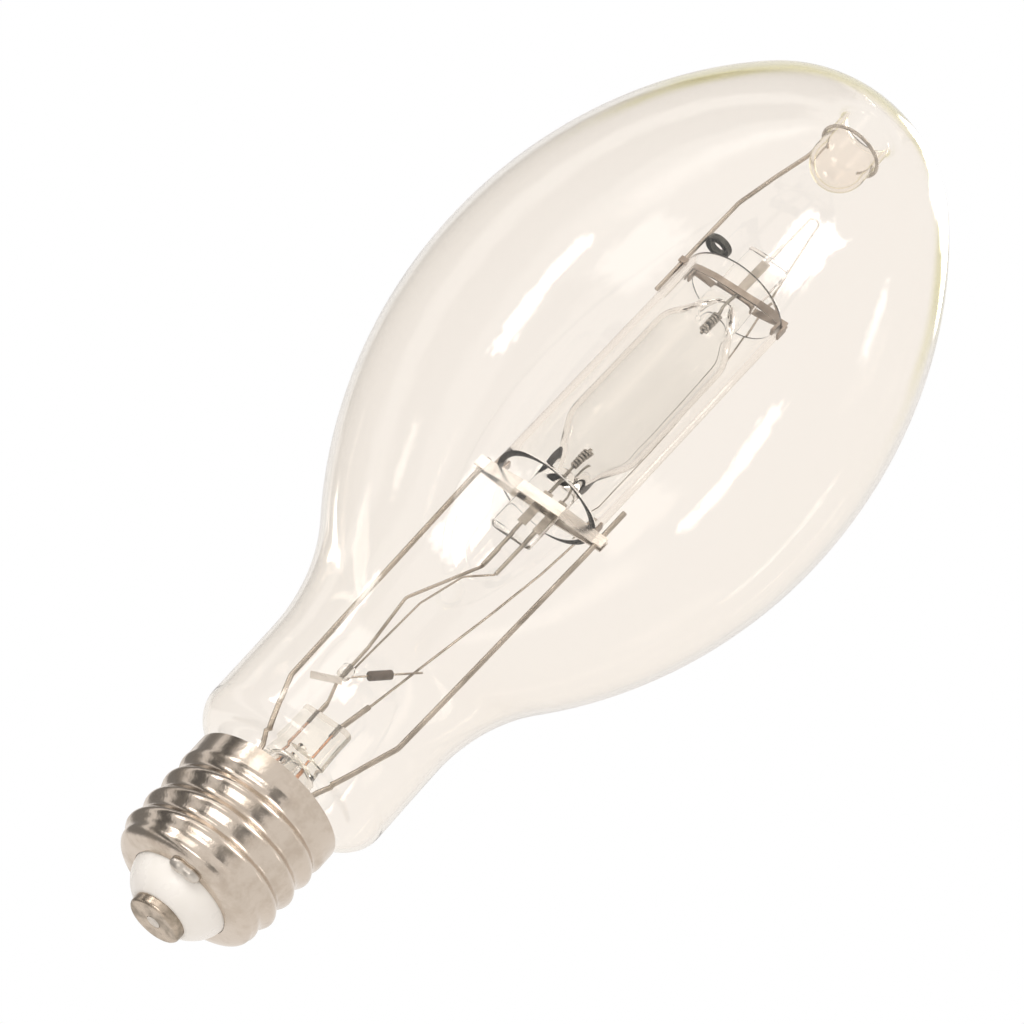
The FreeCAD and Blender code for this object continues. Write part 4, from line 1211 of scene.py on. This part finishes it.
@dataclass
class Studio:
    """Camera, lamps, floor and background."""

    tilt: float = 27.452
    roll: float = 47.824
    distance: float = 1.2
    aim_height: float = 0.13305
    side_shift: float = 0.00203
    lens: float = 184.76
    sensor: float = 36.0
    clip: Point = (0.05, 50.0)
    floor_size: float = 8.0
    floor_drop: float = 0.0005
    floor_grey: float = 0.95
    key_way: tuple[float, float, float] = (-0.60, -0.70, 0.10)
    key_reach: float = 1.4
    key_size: Point = (0.6, 0.6)
    key_power: float = 6.0
    room_colour: Colour = (1.0, 0.97, 0.94)
    room_front: float = 0.92
    room_back: float = 0.97
    room_blend: Point = (-0.25, 0.75)
    ragged: float = 9.0
    ragged_scale: float = 14.0
    cards: tuple[Card, ...] = (
        # dark flags, which the plated shell mirrors
        Card((-150.0, -114.0), (-75.0, 75.0), 8.0, 0.25, through_glass=False),
        Card((-100.0, -76.0), (-75.0, 75.0), 8.0, 0.12, through_glass=False),
        Card((-57.0, -44.0), (-60.0, 15.0), 6.0, 0.15, through_glass=False),
        Card((2.0, 20.0), (-60.0, 10.0), 6.0, 0.25, through_glass=False),
        # white card that the lower strap mirrors
        Card((-50.0, -28.0), (18.0, 36.0), 6.0, 2.2),
        # tall window on the left, in two panes, and the soft light above it
        Card((-67.0, -60.0), (-3.0, 11.0), 3.0, 8.0),
        Card((-66.0, -60.5), (11.0, 24.0), 3.0, 7.0),
        Card((-66.0, -54.0), (34.0, 76.0), 12.0, 1.7),
        # narrow window on the right
        Card((78.0, 84.0), (42.0, 55.0), 4.0, 3.0),
        # high window, which the dome and the back of the neck mirror
        Card((5.0, 32.0), (41.0, 60.0), 3.0, 7.0, Across.REACH),
        # low white card, which the front of the neck mirrors
        Card((-45.0, -14.0), (-42.0, -27.0), 4.0, 4.0),
    )

    def camera(self) -> None:
        """Place the camera as in the photograph, below the lamp and turned on its side."""
        tilt, roll = math.radians(self.tilt), math.radians(self.roll)
        view = Vector((0, math.cos(tilt), math.sin(tilt)))
        along = Vector((0, -math.sin(tilt), math.cos(tilt)))
        across = Vector((1, 0, 0))
        right = along * math.cos(roll) + across * math.sin(roll)
        up = along * math.sin(roll) - across * math.cos(roll)
        aim = Vector((-self.side_shift, 0, self.aim_height))
        turn = Matrix((right, up, -view)).transposed().to_4x4()
        data = bpy.data.cameras.new("photo_camera")
        data.lens = self.lens
        data.sensor_width = self.sensor
        data.clip_start, data.clip_end = self.clip
        camera = bpy.data.objects.new("photo_camera", data)
        camera.matrix_world = Matrix.Translation(aim - view * self.distance) @ turn
        bpy.context.scene.collection.objects.link(camera)
        bpy.context.scene.camera = camera

    def softbox(self) -> None:
        """Hang the lamp that shades the pale pieces, aimed at the middle of the bulb."""
        data = bpy.data.lights.new("key_softbox", "AREA")
        data.shape = "RECTANGLE"
        data.size, data.size_y = self.key_size
        data.energy = self.key_power
        lamp = bpy.data.objects.new("key_softbox", data)
        way = Vector(self.key_way).normalized()
        lamp.location = Vector((0, 0, self.aim_height)) + way * self.key_reach
        lamp.rotation_euler = way.to_track_quat("Z", "Y").to_euler()
        lamp.visible_camera = False
        lamp.visible_transmission = False
        lamp.visible_glossy = False
        bpy.context.scene.collection.objects.link(lamp)

    def room(self, tree: Tree) -> bpy.types.NodeSocket:
        """Build the room's brightness by direction.

        Args:
            tree: the world's tree.

        Returns:
            The strength that glass and metal reflect.
        """
        way = tree.node("ShaderNodeTexCoord").outputs["Generated"]
        axes = tree.node("ShaderNodeSeparateXYZ", {0: way}).outputs
        noise = tree.node("ShaderNodeTexNoise", {
            "Vector": way, "Scale": self.ragged_scale, **RAGGED_NOISE}).outputs
        shift = tree.math("MULTIPLY", tree.math("SUBTRACT", noise["Fac"], 0.5), self.ragged)
        flat = tree.math("ARCTAN2", axes["X"], tree.math("MULTIPLY", axes["Y"], -1.0))
        azimuth = tree.math("ADD", tree.math("DEGREES", flat), shift)
        elevation = tree.math("ADD", tree.math("DEGREES", tree.math("ARCSINE", axes["Z"])), shift)
        room = tree.node("ShaderNodeMapRange", {
            "Value": axes["Y"], "From Min": self.room_blend[0], "From Max": self.room_blend[1],
            "To Min": self.room_front, "To Max": self.room_back},
            interpolation_type="SMOOTHSTEP").outputs[0]
        depth = tree.node("ShaderNodeLightPath").outputs["Transmission Depth"]
        bare = tree.math("LESS_THAN", depth, 0.5)
        reach = tree.math("ADD", tree.math("MULTIPLY", axes["X"], PERCENT), shift)
        for card in self.cards:
            across = azimuth if card.across is Across.AZIMUTH else reach
            mask = tree.node("ShaderNodeGroup", {
                "Across": across, "Elevation": elevation, "Left": card.sides[0],
                "Right": card.sides[1], "Low": card.elevation[0], "High": card.elevation[1],
                "Edge": card.edge}, node_tree=card_group()).outputs[0]
            if not card.through_glass:
                mask = tree.math("MULTIPLY", mask, bare)
            lit = tree.node("ShaderNodeMix", {0: mask, 2: room, 3: card.strength})
            room = lit.outputs[0]
        return room

    def world(self) -> None:
        """Make the white background and the room's plain light."""
        world = bpy.data.worlds.new("studio")
        bpy.context.scene.world = world
        world.use_nodes = True
        tree = Tree(world.node_tree)
        path = tree.node("ShaderNodeLightPath").outputs
        turns = tree.math("ADD", path["Glossy Depth"], path["Diffuse Depth"])
        straight = tree.math("LESS_THAN", turns, 0.5)
        through = tree.math("MULTIPLY", path["Is Transmission Ray"], straight)
        seen = tree.math("MAXIMUM", path["Is Camera Ray"], through)
        white = tree.node("ShaderNodeBackground", {"Color": (1.0, 1.0, 1.0, 1.0),
                                                   "Strength": 1.0})
        room = tree.node("ShaderNodeBackground", {"Color": (*self.room_colour, 1.0),
                                                  "Strength": self.room(tree)})
        mix = tree.node("ShaderNodeMixShader", {0: seen, 1: room.outputs[0], 2: white.outputs[0]})
        tree.node("ShaderNodeOutputWorld", {"Surface": mix.outputs[0]})

    def floor(self) -> None:
        """Lay a pale floor that is seen from above and clear from below."""
        half = self.floor_size / 2
        mesh = bmesh.new()
        mesh.faces.new([mesh.verts.new((x, y, -self.floor_drop)) for x, y in (
            (-half, -half), (half, -half), (half, half), (-half, half))])
        data = bpy.data.meshes.new("floor")
        mesh.to_mesh(data)
        mesh.free()
        floor = bpy.data.objects.new("floor", data)
        bpy.context.scene.collection.objects.link(floor)
        made = bpy.data.materials.new("floor")
        made.use_nodes = True
        tree = Tree(made.node_tree)
        path = tree.node("ShaderNodeLightPath").outputs
        back = tree.node("ShaderNodeNewGeometry").outputs["Backfacing"]
        other = tree.math("SUBTRACT", 1.0, path["Is Camera Ray"])
        clear = tree.math("MAXIMUM", back, other)
        grey = self.floor_grey
        paint = tree.node("ShaderNodeBsdfDiffuse", {"Color": (grey, grey, grey, 1.0)})
        gap = tree.node("ShaderNodeBsdfTransparent")
        mix = tree.node("ShaderNodeMixShader", {0: clear, 1: paint.outputs[0],
                                                2: gap.outputs[0]})
        tree.node("ShaderNodeOutputMaterial", {"Surface": mix.outputs[0]})
        data.materials.append(made)

    def build(self) -> None:
        """Set the studio up."""
        self.camera()
        self.softbox()
        self.world()
        self.floor()
        bpy.context.scene.view_settings.view_transform = "Standard"


def dress_frame() -> None:
    """Give every solid the finish of its slot, or a darker brown steel for the upper straps and the
    clips.
    """
    for part in frame["record"]["subparts"]:
        name = part["node"]
        dress(frame["nodes"][name], DARK_BROWN_PIECES.get(name, SLOTS[part["material_slot"]]))


def main() -> None:
    """Build the studio and the lamp's pieces in order."""
    logging.basicConfig(level=logging.INFO, format="%(name)s %(message)s")
    Studio().build()
    dress_frame()
    ScrewBase().build()
    ArcTube().build()
    Bulb().build()


if __name__ == "__main__":
    main()
